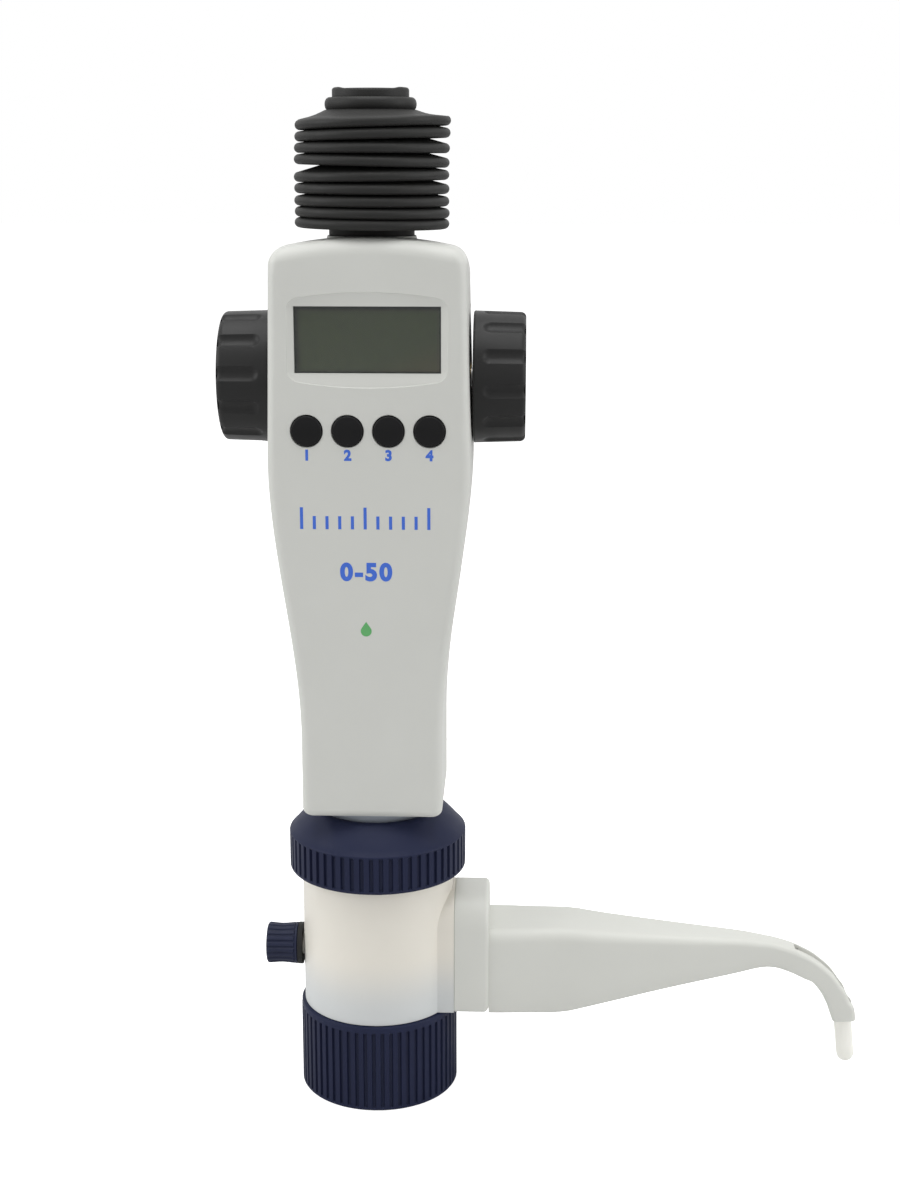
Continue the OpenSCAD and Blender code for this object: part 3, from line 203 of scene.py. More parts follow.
def settled(mesh, sharp=35):
    """Turns every face outwards and shades smooth up to an angle."""
    work = bmesh.new()
    work.from_mesh(mesh)
    bmesh.ops.recalc_face_normals(work, faces=work.faces)
    work.to_mesh(mesh)
    work.free()
    mesh.shade_smooth()
    mesh.set_sharp_from_angle(angle=math.radians(sharp))
    return mesh


def piece(mesh, material, body, slot, *nodes):
    """Makes the object, gives it its finish and fixes it to its CAD body."""
    made = placed(mesh)
    mesh.materials.clear()
    mesh.materials.append(material)
    if nodes:
        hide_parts(*nodes)
    if body:
        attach(made, body)
    return made


def paint(material, *nodes):
    """Gives CAD nodes that are shown as they are their finish."""
    for name in nodes:
        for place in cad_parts[name].material_slots:
            place.material = material


def spokes(count):
    return [2 * math.pi * k / count for k in range(count)]


def quarter(steps, first=0):
    """Angles of a quarter turn, in equal steps."""
    return [math.pi / 2 * k / steps for k in range(first, steps + 1)]


def bend(x, y, r, steps, first=0, down=False):
    """Points of a quarter round about x and y, from its right to its top or to its foot."""
    return [(x + r * math.cos(a), y + (-r if down else r) * math.sin(a))
            for a in quarter(steps, first)]


def turned(profile, steps, shape=None, where=None):
    """Rings of a turned form. profile is [(radius, height)]; shape(r, h, angle) bends it.
    steps is the number of equal steps round it, or the list of angles."""
    angles = steps if isinstance(steps, list) else spokes(steps)
    rings = []
    for r, h in profile:
        ring = []
        for a in angles:
            now = shape(r, h, a) if shape else r
            point = Vector((now * math.cos(a), now * math.sin(a), h))
            ring.append(where @ point if where else point)
        rings.append(ring)
    return rings


def ease(t):
    t = min(max(t, 0.0), 1.0)
    return t * t * (3 - 2 * t)


def groove(a, count, width, soft):
    """1 in the middle of a knurl groove and 0 on the rib beside it."""
    off = abs((a * count / (2 * math.pi)) % 1 - 0.5) * 2
    return ease((width + soft - off) / (2 * soft))


navy = surface("navy", rgb(33, 38, 62), 0.45, spread=0.06, unevenness=0.2, grain=0.0003,
               depth=0.000012, Specular_IOR_Level=0.12)
collar_r, _, collar_h = sides("bottle_collar")[1]
knurls, knurl_wide, knurl_soft = 58, 0.385, 0.075
knurl_angles = [2 * math.pi * (k + part) / knurls for k in range(knurls) for part in
                (0, 0.16, 0.27, 0.31, 0.345, 0.5, 0.655, 0.69, 0.73, 0.84)]
thread_r, thread_top, thread_pitch, thread_deep = 21.5, 17.6, 4, 1.3
plain_band, foot_lip, run_out = 2.0, 0.9, 0.5
neck_r, ring_r, ring_top = 19.3, 22.1, 23.6


def collar_shape(r, h, a):
    if r > collar_r - 0.4 and h < collar_h - plain_band:
        fade = ease((collar_h - plain_band - h) / run_out) * ease((h - foot_lip) / run_out)
        return r - 0.7 * fade * groove(a, knurls, knurl_wide, knurl_soft)
    if abs(r - thread_r) < 0.01:
        turn = (h / thread_pitch - a / (2 * math.pi)) % 1
        ends = ease(h / 1.2) * ease((thread_top - h) / 1.2)
        return r + thread_deep * ends * ease((0.32 - abs(turn - 0.5)) / 0.18)
    return r


outside = [(26.3, 0), (26.75, 0.15), (collar_r, 0.5)]
outside += [(collar_r, h) for h in (0.85, 1.0, 1.15, 1.3, 1.45, 10, 20)]
outside += [(collar_r, collar_h - 2.6 + 0.12 * k) for k in range(5)]
outside += [(collar_r - 0.1, collar_h - 1.95), (collar_r - 0.1, collar_h - 0.6),
            (collar_r - 0.3, collar_h - 0.2), (collar_r - 0.75, collar_h)]
inside = [(neck_r + 0.1, collar_h), (neck_r, collar_h - 0.2), (neck_r, ring_top),
          (ring_r, ring_top), (ring_r, thread_top + 0.1)]
inside += [(thread_r, thread_top - 0.4 * k) for k in range(44)]
inside += [(thread_r + 0.5, 0)]
piece(mesh_of("collar_ring", turned(outside + inside, knurl_angles, collar_shape), "loop"),
      navy, "collar", "navy", "bottle_collar")

# Retaining ring and valve seat: white fluoropolymer discs pressed under the block,
# turned from rod. The ring holds the collar and carries the filling tube's socket.
waxy = surface("waxy_white", rgb(226, 225, 220), 0.45, spread=0.02, unevenness=0.15, grain=0.0008,
               depth=0.000008, Subsurface_Weight=0.1, Subsurface_Radius=(0.002, 0.002, 0.002))
paint(waxy, "retainer_ring", "inlet_valve_seat", "outlet_valve_body", "cylinder_seal", "rod_guide")
ceramic = surface("ceramic", rgb(214, 214, 212), 0.15, spread=0.01, unevenness=0.05, depth=0.000002)
paint(ceramic, "inlet_ball", "outlet_ball")

# Valve block: a milky, slightly translucent plastic cylinder that holds both valves.
# Injection moulded, with a flat boss for the spout and threads under the nut.
# Its colour is painted cooler and darker just above the collar, as painted light that comes up
# through it.
block_z = collar_h + 0.3


# Painted light: the block's colour is cooler and darker low down, warmer and brighter higher up.
def block_painted_light_tone(tree):
    return use(tree, height_tint, Low=(block_z + 3) * MM, High=(block_z + 24) * MM,
               Low_Color=rgb(208, 211, 211), High_Color=rgb(231, 227, 217)).outputs["Color"]


milky = surface("milky_block", block_painted_light_tone, 0.38, spread=0.012, unevenness=0.12, grain=0.0006,
                depth=0.000012, Subsurface_Weight=0.25, Coat_Weight=0.08,
                Subsurface_Radius=(0.006, 0.006, 0.006))
paint(milky, "valve_block", "vent_port")

# Turned steel: fine rings left by the lathe, for shafts, springs and screws
lathe_rings, given, result = effect(
    "lathe_rings", [("Roughness", "Float"), ("Pitch", "Float")],
    [("Roughness", "Float"), ("Normal", "Vector")])
place = wire(lathe_rings, "TexCoord").outputs["Object"]
lines = wire(lathe_rings, "TexNoise", Vector=place, Detail=3,
             Scale=maths(lathe_rings, "DIVIDE", 1.0, given["Pitch"]))
worn = wire(lathe_rings, "MapRange", Value=lines.outputs["Fac"], To_Min=-0.08, To_Max=0.1)
ridges = wire(lathe_rings, "Bump", Height=lines.outputs["Fac"], Distance=0.000004)
feed(lathe_rings, result, Normal=ridges.outputs["Normal"],
     Roughness=maths(lathe_rings, "ADD", worn.outputs["Result"], given["Roughness"]))


def metal(name, colour, roughness, pitch):
    """A bare metal with fine tool marks at the given pitch."""
    material = bpy.data.materials.new(name)
    material.use_nodes = True
    tree = material.node_tree
    coat(tree, use(tree, moulded, Color=colour, Spread=0.05, Grain_Size=0.001),
         use(tree, lathe_rings, Roughness=roughness, Pitch=pitch), Metallic=1.0)
    return material


steel = metal("turned_steel", rgb(196, 197, 198), 0.3, 0.0003)
paint(steel, "outlet_spring", "base_screws", "board_screws", "housing_screws", "wheel_shaft",
      "layshaft", "piston_rod")

# Vent: a milky nipple on the block's left, a black washer and a small blue screw cap.
# The cap is moulded, with twenty ribs, a slight waist and a plain ring at the block.
rubber = surface("black_rubber", rgb(33, 33, 32), 0.55, spread=0.12, unevenness=0.25, grain=0.0006,
                 depth=0.00002, Specular_IOR_Level=0.25)
paint(rubber, "vent_washer")
cap_low, cap_high = sides("vent_cap")
vent_z, vent_r = (cap_low.z + cap_high.z) / 2, (cap_high.z - cap_low.z) / 2
vent_l, vent_bore, vent_ring = cap_high.x - cap_low.x, 4.1, 1.1


def vent_shape(r, h, a):
    if r < 6 or h < vent_ring or h > vent_l - 0.5:
        return r
    waist = 0.32 * math.sin(math.pi * (h - vent_ring) / (vent_l - 1.6)) ** 1.5
    return r - waist - 0.45 * groove(a, 20, 0.34, 0.2)


def stood(point, angle, axis):
    """The place of a turned form: at a point, tipped about an axis."""
    return Matrix.Translation(point) @ Matrix.Rotation(angle, 4, axis)


vent_profile = [(vent_bore, 8.5), (vent_bore, 0), (vent_r - 0.25, 0), (vent_r, 0.2),
                (vent_r, 0.85), (vent_r - 0.3, 1.0)]
vent_profile += [(vent_r - 0.05, 1.2 + k * (vent_l - 1.9) / 14) for k in range(15)]
vent_profile += [(vent_r - 0.3, vent_l - 0.25), (vent_r - 0.75, vent_l), (vent_r - 1.6, vent_l),
                 (vent_r - 1.9, vent_l - 0.25), (0.5, vent_l - 0.25)]
to_left = stood((cap_high.x, 0, vent_z), -math.pi / 2, "Y")
vent_blue = surface("vent_blue", rgb(36, 41, 64), 0.45, spread=0.06, unevenness=0.2, grain=0.0003,
                    depth=0.000012, Specular_IOR_Level=0.2)
piece(mesh_of("vent_screw_cap", turned(vent_profile, 20 * 14, vent_shape, to_left)),
      vent_blue, "vent_knob", "navy", "vent_cap")

# Outlet base: the pale plate that clamps the spout to the block with two screws.
# Moulded, arched on top, with a soft edge where the spout cover plugs on.
spout_grey = surface("spout_grey", rgb(212, 213, 207), 0.42, spread=0.015, unevenness=0.12,
                     grain=0.0005, depth=0.000012)
base_low, base_high = sides("outlet_base")
base_corner, base_foot, base_edge = 10.5, 1.2, 1.6


def arched(x, inset):
    """The plate's outline across the spout: straight foot, two round upper corners."""
    half, low, high = base_high.y - inset, base_low.z + inset, base_high.z - inset
    r, foot = base_corner - inset, base_foot
    ring = [Vector((x, -half + foot * (1 - math.cos(a)), low + foot * (1 - math.sin(a))))
            for a in reversed(quarter(5))]
    ring += [Vector((x, -half, low + foot + (high - r - low - foot) * k / 8)) for k in range(1, 8)]
    ring += [Vector((x, -half + r - r * math.cos(a), high - r + r * math.sin(a)))
             for a in quarter(14)]
    return ring + [Vector((x, -p.y, p.z)) for p in reversed(ring)]


base_rings = [arched(base_low.x, 0.3), arched(base_low.x + 0.3, 0.0)]
base_rings += [arched(base_high.x - base_edge * (1 - math.sin(a)), base_edge * (1 - math.cos(a)))
               for a in quarter(6)]


def baked(made, name):
    """The object's mesh with its modifiers applied; the object goes."""
    bpy.context.view_layer.update()
    mesh = bpy.data.meshes.new_from_object(
        made.evaluated_get(bpy.context.evaluated_depsgraph_get()))
    bpy.data.objects.remove(made)
    mesh.name = name
    return mesh


def carved(name, mesh, *steps):
    """Applies exact booleans. Each step is a mesh to cut away, or (operation, mesh)."""
    work, cutters = placed(mesh), []
    for step in steps:
        operation, cutter = step if isinstance(step, tuple) else ("DIFFERENCE", step)
        cutters.append(placed(cutter))
        change = work.modifiers.new(operation, "BOOLEAN")
        change.operation, change.solver, change.object = operation, "EXACT", cutters[-1]
    final = baked(work, name)
    for made in cutters:
        bpy.data.objects.remove(made)
    return final


def evened(name, mesh):
    """Smooth shading weighted by area, so that a large flat face beside a bend stays flat."""
    work = placed(settled(mesh, 30))
    even = work.modifiers.new("even", "WEIGHTED_NORMAL")
    even.keep_sharp, even.weight = True, 90
    return baked(work, name)


def rod(r, start, end, steps=48):
    """A plain round cutter between two points, in millimetres."""
    along = Vector(end) - Vector(start)
    where = Matrix.Translation(start) @ along.to_track_quat("Z", "Y").to_matrix().to_4x4()
    return mesh_of("rod", turned([(r, 0), (r, along.length)], steps, None, where))


outlet_z = block_z + 20.2
base_screw_z = block_z + 7
base_mesh = carved(
    "outlet_plate", mesh_of("outlet_plate", base_rings),
    rod(6.5, (base_low.x - 1, 0, outlet_z), (36, 0, outlet_z)),
    rod(3.2, (base_low.x, 0, outlet_z), (base_high.x + 1, 0, outlet_z)),
    *[rod(r, (start, y, base_screw_z), (base_high.x + 1, y, base_screw_z))
      for r, start in ((1.4, base_low.x - 1), (2.2, base_high.x - 3)) for y in (-10.2, 10.2)])
piece(settled(base_mesh), spout_grey, "housing", "spout_grey", "outlet_base")

# Spout cover: a long hollow moulding that slims down and bends over at its tip.
# Its upper edges are broad and round at the root; outside the bend a channel
# is left open, and the discharge tube lies in it.
arm_at = Vector((sides("spout_cover")[0].x, 0, block_z))
root_half, waist_half, tip_half, cover_wall = 13.5, 12.0, 4.3, 1.2
waist_x, tip_x = 28, 96
arm_pairs = [
    ((0, 29.2), (0, -1)), ((13.7, 29.2), (12.4, -1)), ((27.5, 29.2), (24.7, -1)),
    ((40.5, 27.7), (36.5, 1.2)), ((63, 25.7), (60, 6.4)), ((85.4, 23.9), (84, 11.2)),
    ((92, 23), (90.7, 12.7)), ((97, 22.2), (95.2, 13.25)), ((101.5, 21), (98.6, 13)),
    ((105, 19.8), (101.6, 12.1)), ((109.5, 17.6), (105.2, 10.6)), ((113, 15.4), (108.4, 9)),
    ((117.8, 11.2), (111.4, 7.6)), ((121, 6.8), (114.4, 3.8)), ((122.8, 4.4), (115.8, 1.2)),
    ((124.3, 0.9), (116.7, -0.8)), ((125.8, -1.1), (117.5, -2.9)), ((126.5, -3.9), (118.1, -4.6)),
    ((126.65, -6.1), (118.7, -6.4))]
tube_route = [
    (-1.8, 20.2), (20, 19.9), (50, 19.3), (80, 18.8), (91, 18.6), (96, 18.3), (100, 17.7),
    (104.1, 16.4), (107.9, 14.7), (111.7, 12.4), (115.1, 9.3), (118, 5), (120.2, 0.9),
    (121.8, -3), (122.7, -6.2), (123.2, -10.6), (123.7, -15.2)]


def curve_at(points, t):
    """A smooth curve through points, at t counted in points."""
    i = min(int(t), len(points) - 2)
    t -= i
    a, b, c, d = [Vector(points[min(max(k, 0), len(points) - 1)]) for k in range(i - 1, i + 3)]
    return 0.5 * (2 * b + (c - a) * t + (2 * a - 5 * b + 4 * c - d) * t * t
                  + (3 * b - a - 3 * c + d) * t ** 3)


tube_line = [curve_at(tube_route, k / 6) for k in range(6 * (len(tube_route) - 1) + 1)]
channel_half, channel_start, channel_lip = 2.1, 9.0, 0.25


def arm_section(t, inset):
    """One cross section of the cover, across its length, from the foot round to the top."""
    top = curve_at([p[0] for p in arm_pairs], t)
    foot = curve_at([p[1] for p in arm_pairs], t)
    up = (top - foot).normalized()
    height = (top - foot).length - 2 * inset
    foot = foot + up * inset
    middle = (top.x + foot.x) / 2
    if middle < waist_x:
        wide = root_half + (waist_half - root_half) * ease(middle / waist_x) - inset
    else:
        slim = min((middle - waist_x) / (tip_x - waist_x), 1)
        wide = waist_half + (tip_half - waist_half) * slim - inset
    soft = max(4.8 - 0.028 * middle, 1.6)
    top_r = max(min(soft, wide - channel_half - 0.15, height * 0.45) - inset, 0.3)
    foot_r = max(min(1.4, height * 0.3) - inset * 0.6, 0.25)
    depth = 0.0
    if inset == 0 and t >= channel_start:
        line = min(tube_line, key=lambda p: (p - top).length)
        depth = min((line - top).length + channel_half, height - 1.1)
    loop = [(wide - foot_r + foot_r * math.sin(a), foot_r - foot_r * math.cos(a))
            for a in quarter(4)]
    loop += [(wide, foot_r + (height - top_r - foot_r) * k / 4) for k in (1, 2, 3)]
    loop += bend(wide - top_r, height - top_r, top_r, 8)
    lip = channel_lip if depth else 0.0
    loop += [(channel_half + lip, height), (channel_half * 0.999, height - lip)]
    loop += [(channel_half * math.cos(a),
              height - max(depth - channel_half, 0) - min(channel_half, depth) * math.sin(a))
             for a in quarter(6, 1)]
    loop += [(-y, v) for y, v in reversed(loop[:-1])]
    return [arm_at + Vector((foot.x + up.x * v, y, foot.y + up.y * v)) for y, v in loop]


stations = [k / 4 for k in range(4 * (len(arm_pairs) - 1) + 1)]
outer_arm = [arm_section(t, 0.0) for t in sorted(stations + [channel_start - 0.02])]
hollow = [arm_section(t, cover_wall) for t in stations[:39]]
hollow = [[p - Vector((1.5, 0, 0)) for p in hollow[0]]] + hollow
arm_mesh = carved("spout_arm", mesh_of("arm_outside", outer_arm), mesh_of("arm_hollow", hollow))
piece(settled(arm_mesh, 38), spout_grey, "housing", "spout_grey", "spout_cover")

# Discharge tube: milky fluoropolymer tube from the outlet valve to the nozzle.
# Extruded and bent; it swells a little where it leaves the channel.
milky_tube = surface("milky_tube", rgb(232, 231, 226), 0.3, spread=0.02, depth=0.000004,
                     Subsurface_Weight=0.3, Subsurface_Radius=(0.002, 0.002, 0.002))


def tube_ring(i, r):
    here = tube_line[i]
    ahead, behind = tube_line[min(i + 1, len(tube_line) - 1)], tube_line[max(i - 1, 0)]
    way = (ahead - behind).normalized()
    return [arm_at + Vector((here.x - way.y * r * math.cos(a), r * math.sin(a),
                             here.y + way.x * r * math.cos(a))) for a in spokes(24)]


def tube_r(i):
    return 1.6 + 0.28 * ease((i - 80) / 4) * ease((91 - i) / 4)


tube_bore = 0.96
tube_rings = [tube_ring(i, tube_r(i)) for i in range(len(tube_line))]
tube_rings += [tube_ring(i, tube_bore) for i in reversed(range(len(tube_line)))]
piece(mesh_of("outlet_tube", tube_rings, "loop"), milky_tube, "housing", "tube_milky",
      "discharge_tube")

# Nozzle cap: a small translucent slip-on cap with a domed end, moulded.
cap_clear = surface("nozzle_milk", rgb(250, 249, 240), 0.35, spread=0.015, depth=0.000006,
                    Subsurface_Weight=0.35, Subsurface_Radius=(0.003, 0.003, 0.003),
                    Coat_Weight=0.1)
nozzle_at, nozzle_to = arm_at + Vector((122.71, 0, -6.7)), arm_at + Vector((124.4, 0, -21.3))
nozzle_r, nozzle_l, nozzle_bore = 3.05, 16.2, 1.9
nozzle_turn = (nozzle_to - nozzle_at).to_track_quat("Z", "Y").to_matrix().to_4x4()
nozzle_profile = [(nozzle_bore, nozzle_l - 4), (nozzle_bore, 0), (nozzle_r - 0.2, 0),
                  (nozzle_r, 0.25), (nozzle_r, 3), (nozzle_r - 0.05, 8)]
nozzle_profile += [((nozzle_r - 0.05) * math.cos(a), nozzle_l - nozzle_r + nozzle_r * math.sin(a))
                   for a in quarter(9)[:-1]]
piece(mesh_of("nozzle_sleeve", turned(
    nozzle_profile, 40, None, Matrix.Translation(nozzle_at) @ nozzle_turn)),
      cap_clear, "nozzle_cover", "cap_clear", "nozzle_cap")

# Cylinder, piston and foot: a ground glass cylinder stands in a blue-grey foot
# sleeve on the block; a white piston with its lip seal runs inside it.
glass = surface("clear_glass", (0.95, 0.98, 0.97, 1), 0.03, spread=0.01, unevenness=0.02,
                grain=0.002, depth=0.000001, Transmission_Weight=1.0)
paint(glass, "glass_cylinder")
foot_grey = surface("foot_grey", rgb(160, 167, 178), 0.4, spread=0.03)
paint(foot_grey, "cylinder_foot")
paint(waxy, "piston", "piston_seal")

# Union nut: the large dark blue nut that draws the housing down on the block.
# Moulded, with 58 grooves that end in rounded tops, a plain lip under them
# and a smooth cone that closes round the foot sleeve.
nut_low, nut_high = sides("union_nut")
nut_r, nut_z, nut_top = nut_high.x, nut_low.z, nut_high.z
band_top, nut_bore, nut_neck = nut_top - 8.4, 25.35, 19.7


def nut_shape(r, h, a):
    if r < nut_r - 0.2 or h < nut_z + foot_lip:
        return r
    fade = ease((h - nut_z - foot_lip) / run_out) * ease((band_top - 0.45 - h) / 1.1)
    return r - 0.8 * fade * groove(a, knurls, knurl_wide, knurl_soft)


nut_profile = [(nut_bore, nut_z), (nut_r - 0.8, nut_z), (nut_r - 0.25, nut_z + 0.15),
               (nut_r - 0.05, nut_z + 0.5), (nut_r - 0.05, nut_z + foot_lip)]
nut_profile += [(nut_r, nut_z + 1.0 + 0.15 * k) for k in range(4)]
nut_profile += [(nut_r, nut_z + 5), (nut_r, nut_z + 9)]
nut_profile += [(nut_r, band_top - 1.8 + 0.16 * k) for k in range(9)]
nut_profile += [(nut_r - 0.08, band_top - 0.3), (nut_r - 0.3, band_top - 0.05),
                (nut_r - 0.75, band_top + 0.25)]
nut_profile += [(nut_r - 0.75 + (22.1 - nut_r + 0.75) * k / 6 + 0.25 * math.sin(math.pi * k / 6),
                 band_top + 0.25 + (nut_top - 0.6 - band_top - 0.25) * k / 6) for k in range(1, 7)]
nut_profile += [(21.6, nut_top - 0.15), (21.0, nut_top), (20.3, nut_top), (20.0, nut_top - 0.4),
                (nut_neck, nut_top - 0.9), (nut_neck, nut_z + 12), (nut_bore, nut_z + 12)]
piece(mesh_of("nut_ring", turned(nut_profile, knurl_angles, nut_shape), "loop"),
      navy, "nut", "navy", "union_nut")

# Housing: two pale satin mouldings, front and rear, that close on six screws.
# A slim grip below swells into a wide head; every outer edge is rounded, the
# display sits in a dished frame, and a crowned top carries the bellows' seat.
housing_white = surface("housing_white", rgb(206, 207, 202), 0.44, spread=0.012, unevenness=0.1,
                        grain=0.00045, depth=0.000014)
front_low, front_high = sides("front_shell")
front_y, split_y, back_y = front_low.y, front_high.y, sides("rear_shell")[1].y
body_z, seat_z = front_low.z, front_high.z
head_half, crown_half, grip_half, grip_back = front_high.x, 30.5, 22.95, 21.5
grip_top, head_z, crown_z = body_z + 27.15, body_z + 117.8, body_z + 177
crest, wall, edge_r, foot_r, back_foot_r = seat_z + 0.2, 2.2, 4.5, 3, 2
dome_r, dome_y = 130.0, -12.0
front_edge, back_edge, top_edge = 3.0, 5.0, 3.6
bottom_hole, top_hole, seat_r, guide_r, under_top = 19.25, 7.6, 14.1, 11.5, 1.2


def half_width(z):
    if z < head_z:
        return grip_half + (head_half - grip_half) * ease((z - grip_top) / (head_z - grip_top))
    return head_half + (crown_half - head_half) * min((z - head_z) / (crown_z - head_z), 1)


def depth_back(z):
    return grip_back + (back_y - grip_back) * ease((z - grip_top) / (head_z - grip_top))


def dome(x, y):
    return crest - dome_r + math.sqrt(dome_r ** 2 - x * x - (y - dome_y) ** 2)


def plan(half, front, back, front_r, back_r):
    """Rounded outline in x and y: front side first, then right, back and left."""
    ring = [Vector(((half - front_r) * (k / 20 - 1), front)) for k in range(41)]
    side = [Vector((half - front_r + front_r * math.sin(a),
                    front + front_r - front_r * math.cos(a))) for a in quarter(9, 1)[:-1]]
    side += [Vector((half, front + front_r + (back - back_r - front - front_r) * k / 12))
             for k in range(13)]
    side += [Vector(p) for p in bend(half - back_r, back - back_r, back_r, 9, 1)[:-1]]
    ring += side + [Vector(((half - back_r) * (1 - k / 20), back)) for k in range(41)]
    return ring + [Vector((-p.x, p.y)) for p in reversed(side)]


def level(z, inset, front_r=front_edge, back_inset=None):
    """The housing's outline at a height, moved in by the insets."""
    back_inset = inset if back_inset is None else back_inset
    return plan(half_width(z) - inset, front_y + inset, depth_back(z) - back_inset,
                max(front_r - inset * 0.6, 0.8), max(back_edge - inset * 0.6, 0.8))


def rounder(flat, r, share=1.0):
    """Moves an outline towards a circle round the piston's axis."""
    return [p.lerp(p.normalized() * r, share) for p in flat]


def raised(flat, z):
    return [(p.x, p.y, z) for p in flat]


def domed(flat, under=0.0):
    """Lays an outline on the crowned top, or under it."""
    return [(p.x, p.y, dome(p.x, p.y) - under) for p in flat]


def head_rings(inset, under):
    """Rings from the wheels' level up to a line that lies under the crowned top."""
    return [[(x, y, head_z + (z - head_z) * k / 6.3) for x, y, z in domed(
        level(head_z + (crown_z - head_z) * k / 6, inset), under)] for k in range(1, 7)]


foot = level(body_z, foot_r, back_inset=back_foot_r)
shell = [raised(rounder(foot, bottom_hole), body_z), raised(foot, body_z)]
for a in quarter(7, 1):
    left = 1 - math.sin(a)
    shell.append(raised(level(body_z, foot_r * left, back_inset=back_foot_r * left),
                        body_z + foot_r * (1 - math.cos(a))))
heights = [grip_top + (head_z - grip_top) * k / 30 for k in range(31)]
shell += [raised(level(z, 0), z) for z in [body_z + 8, body_z + 18] + heights]
shell += head_rings(0, edge_r)
shell += [domed(level(crown_z, edge_r * (1 - math.cos(a)), top_edge),
                edge_r * (1 - math.sin(a))) for a in quarter(9)]
top_flat = level(crown_z, edge_r, top_edge)
shell += [domed(rounder(top_flat, seat_r + 0.25, k / 5)) for k in range(1, 6)]
shell += [raised(rounder(top_flat, r), z) for r, z in (
    (seat_r, seat_z - 0.15), (seat_r - 0.15, seat_z), (top_hole, seat_z), (top_hole, crest - 8),
    (guide_r, crest - 8), (guide_r, crest - 4))]
shell += [domed(rounder(top_flat, 12, share), wall) for share in (0.7, 0.3)]
shell += [domed(level(crown_z, 4), wall), domed(level(crown_z, wall + 0.5), wall + under_top)]
shell += head_rings(wall, wall + under_top)[::-1]
shell += [raised(level(z, wall), z) for z in reversed(heights)]
inner_floor = level(body_z, wall + 0.6, back_inset=wall)
shell += [raised(level(body_z, wall), body_z + wall + 1), raised(inner_floor, body_z + wall),
          raised(rounder(inner_floor, bottom_hole), body_z + wall)]
shell_mesh = mesh_of("shell", shell, "loop")

window_low, window_high = sides("display_window")
window_z, window_half_w = (window_low.z + window_high.z) / 2, window_high.x - 1.5
window_half_h = (window_high.z - window_low.z) / 2 - 1.5
frame_half_w, frame_edge_h = window_half_w + 2.1, window_half_h + 2.1
frame_rise, frame_corner = 2.3, 3.4


def bowed(x):
    """Height of the dished frame's upper edge, which bows up in the middle."""
    bow = frame_edge_h + frame_rise * (1 - (x / frame_half_w) ** 2)
    past = max(abs(x) - (frame_half_w - frame_corner), 0)
    return bow - frame_corner + math.sqrt(max(frame_corner ** 2 - past ** 2, 0))


def frame_ring(y, share, grow=0.0):
    """From the bowed outline (share 0) to the window's rectangle (share 1)."""
    edge = []
    for a in quarter(24):
        x = frame_half_w * math.sin(a)
        edge.append((x, bowed(x), window_half_w * math.sin(a), window_half_h))
    edge += [(frame_half_w, bowed(frame_half_w) * (1 - k / 8), window_half_w,
              window_half_h * (1 - k / 8)) for k in range(1, 9)]
    right = [(x + (u - x) * share, z + (v - z) * share) for x, z, u, v in edge]
    right += [(x, -z) for x, z in reversed(right[:-1])]
    full = right + [(-x, z) for x, z in reversed(right[1:-1])]
    return [Vector((x * (1 + grow), y, window_z + z * (1 + grow))) for x, z in full]


# Depth behind the front, share of the way in to the window, and growth past the edge
dish = [(-1.0, 0, 0.012), (-0.02, 0, 0.004), (0.24, 0.03, 0), (0.32, 0.06, 0), (1.0, 0.78, 0),
        (1.05, 0.84, 0), (1.12, 1.0, 0), (4, 1.0, 0)]
dish_mesh = mesh_of("dish", [frame_ring(front_y + y, share, grow) for y, share, grow in dish])

keys = [sides("key_%d" % (i + 1)) for i in range(4)]
key_x = [(low.x + high.x) / 2 for low, high in keys]
key_z = (keys[0][0].z + keys[0][1].z) / 2
shaft_y, shaft_z = [sum(corner[i] for corner in sides("wheel_shaft")) / 2 for i in (1, 2)]


def key_hole(x):
    profile = [(5.45, -1), (5.25, -0.02), (5.05, 0.25), (5.05, 4)]
    return mesh_of("key_hole", turned(
        profile, 64, None, stood((x, front_y, key_z), -math.pi / 2, "X")))


def brick(name, low, high):
    (x0, y0, z0), (x1, y1, z1) = low, high
    return mesh_of(name, [[(x0, y0, z), (x1, y0, z), (x1, y1, z), (x0, y1, z)] for z in (z0, z1)])


seam = 0.1
shaft_hole = rod(4.5, (-60, shaft_y, shaft_z), (60, shaft_y, shaft_z))
front_mesh = carved(
    "front_cut", shell_mesh, dish_mesh, *[key_hole(x) for x in key_x], shaft_hole,
    ("INTERSECT", brick("front_side", (-60, -60, 50), (60, split_y - seam, 400))))
piece(evened("front_case", front_mesh), housing_white, "housing", "housing_white", "front_shell")

door_low, door_high = sides("battery_door")
door_half, door_gap = door_high.x - 1.6, 0.35
opening = brick("opening", (-door_half - door_gap, back_y - 4, door_low.z - door_gap),
                (door_half + door_gap, back_y + 5, door_high.z + door_gap))
screws = [(side * (half_width(body_z + rise) - 2.9), body_z + rise)
          for side in (-1, 1) for rise in (13.2, 104, 162.5)]
rear_mesh = carved(
    "rear_cut", shell_mesh, shaft_hole,
    *[("UNION", rod(2.8, (x, split_y + 0.5, z), (x, depth_back(z) - 1, z), 32)) for x, z in screws],
    *[rod(2.2, (x, split_y + 5, z), (x, 40, z), 32) for x, z in screws],
    *[rod(1.3, (x, split_y - 1, z), (x, 40, z), 24) for x, z in screws], opening,
    ("INTERSECT", brick("rear_side", (-60, split_y + seam, 50), (60, 60, 400))))
piece(evened("rear_case", rear_mesh), housing_white, "housing", "housing_white", "rear_shell")
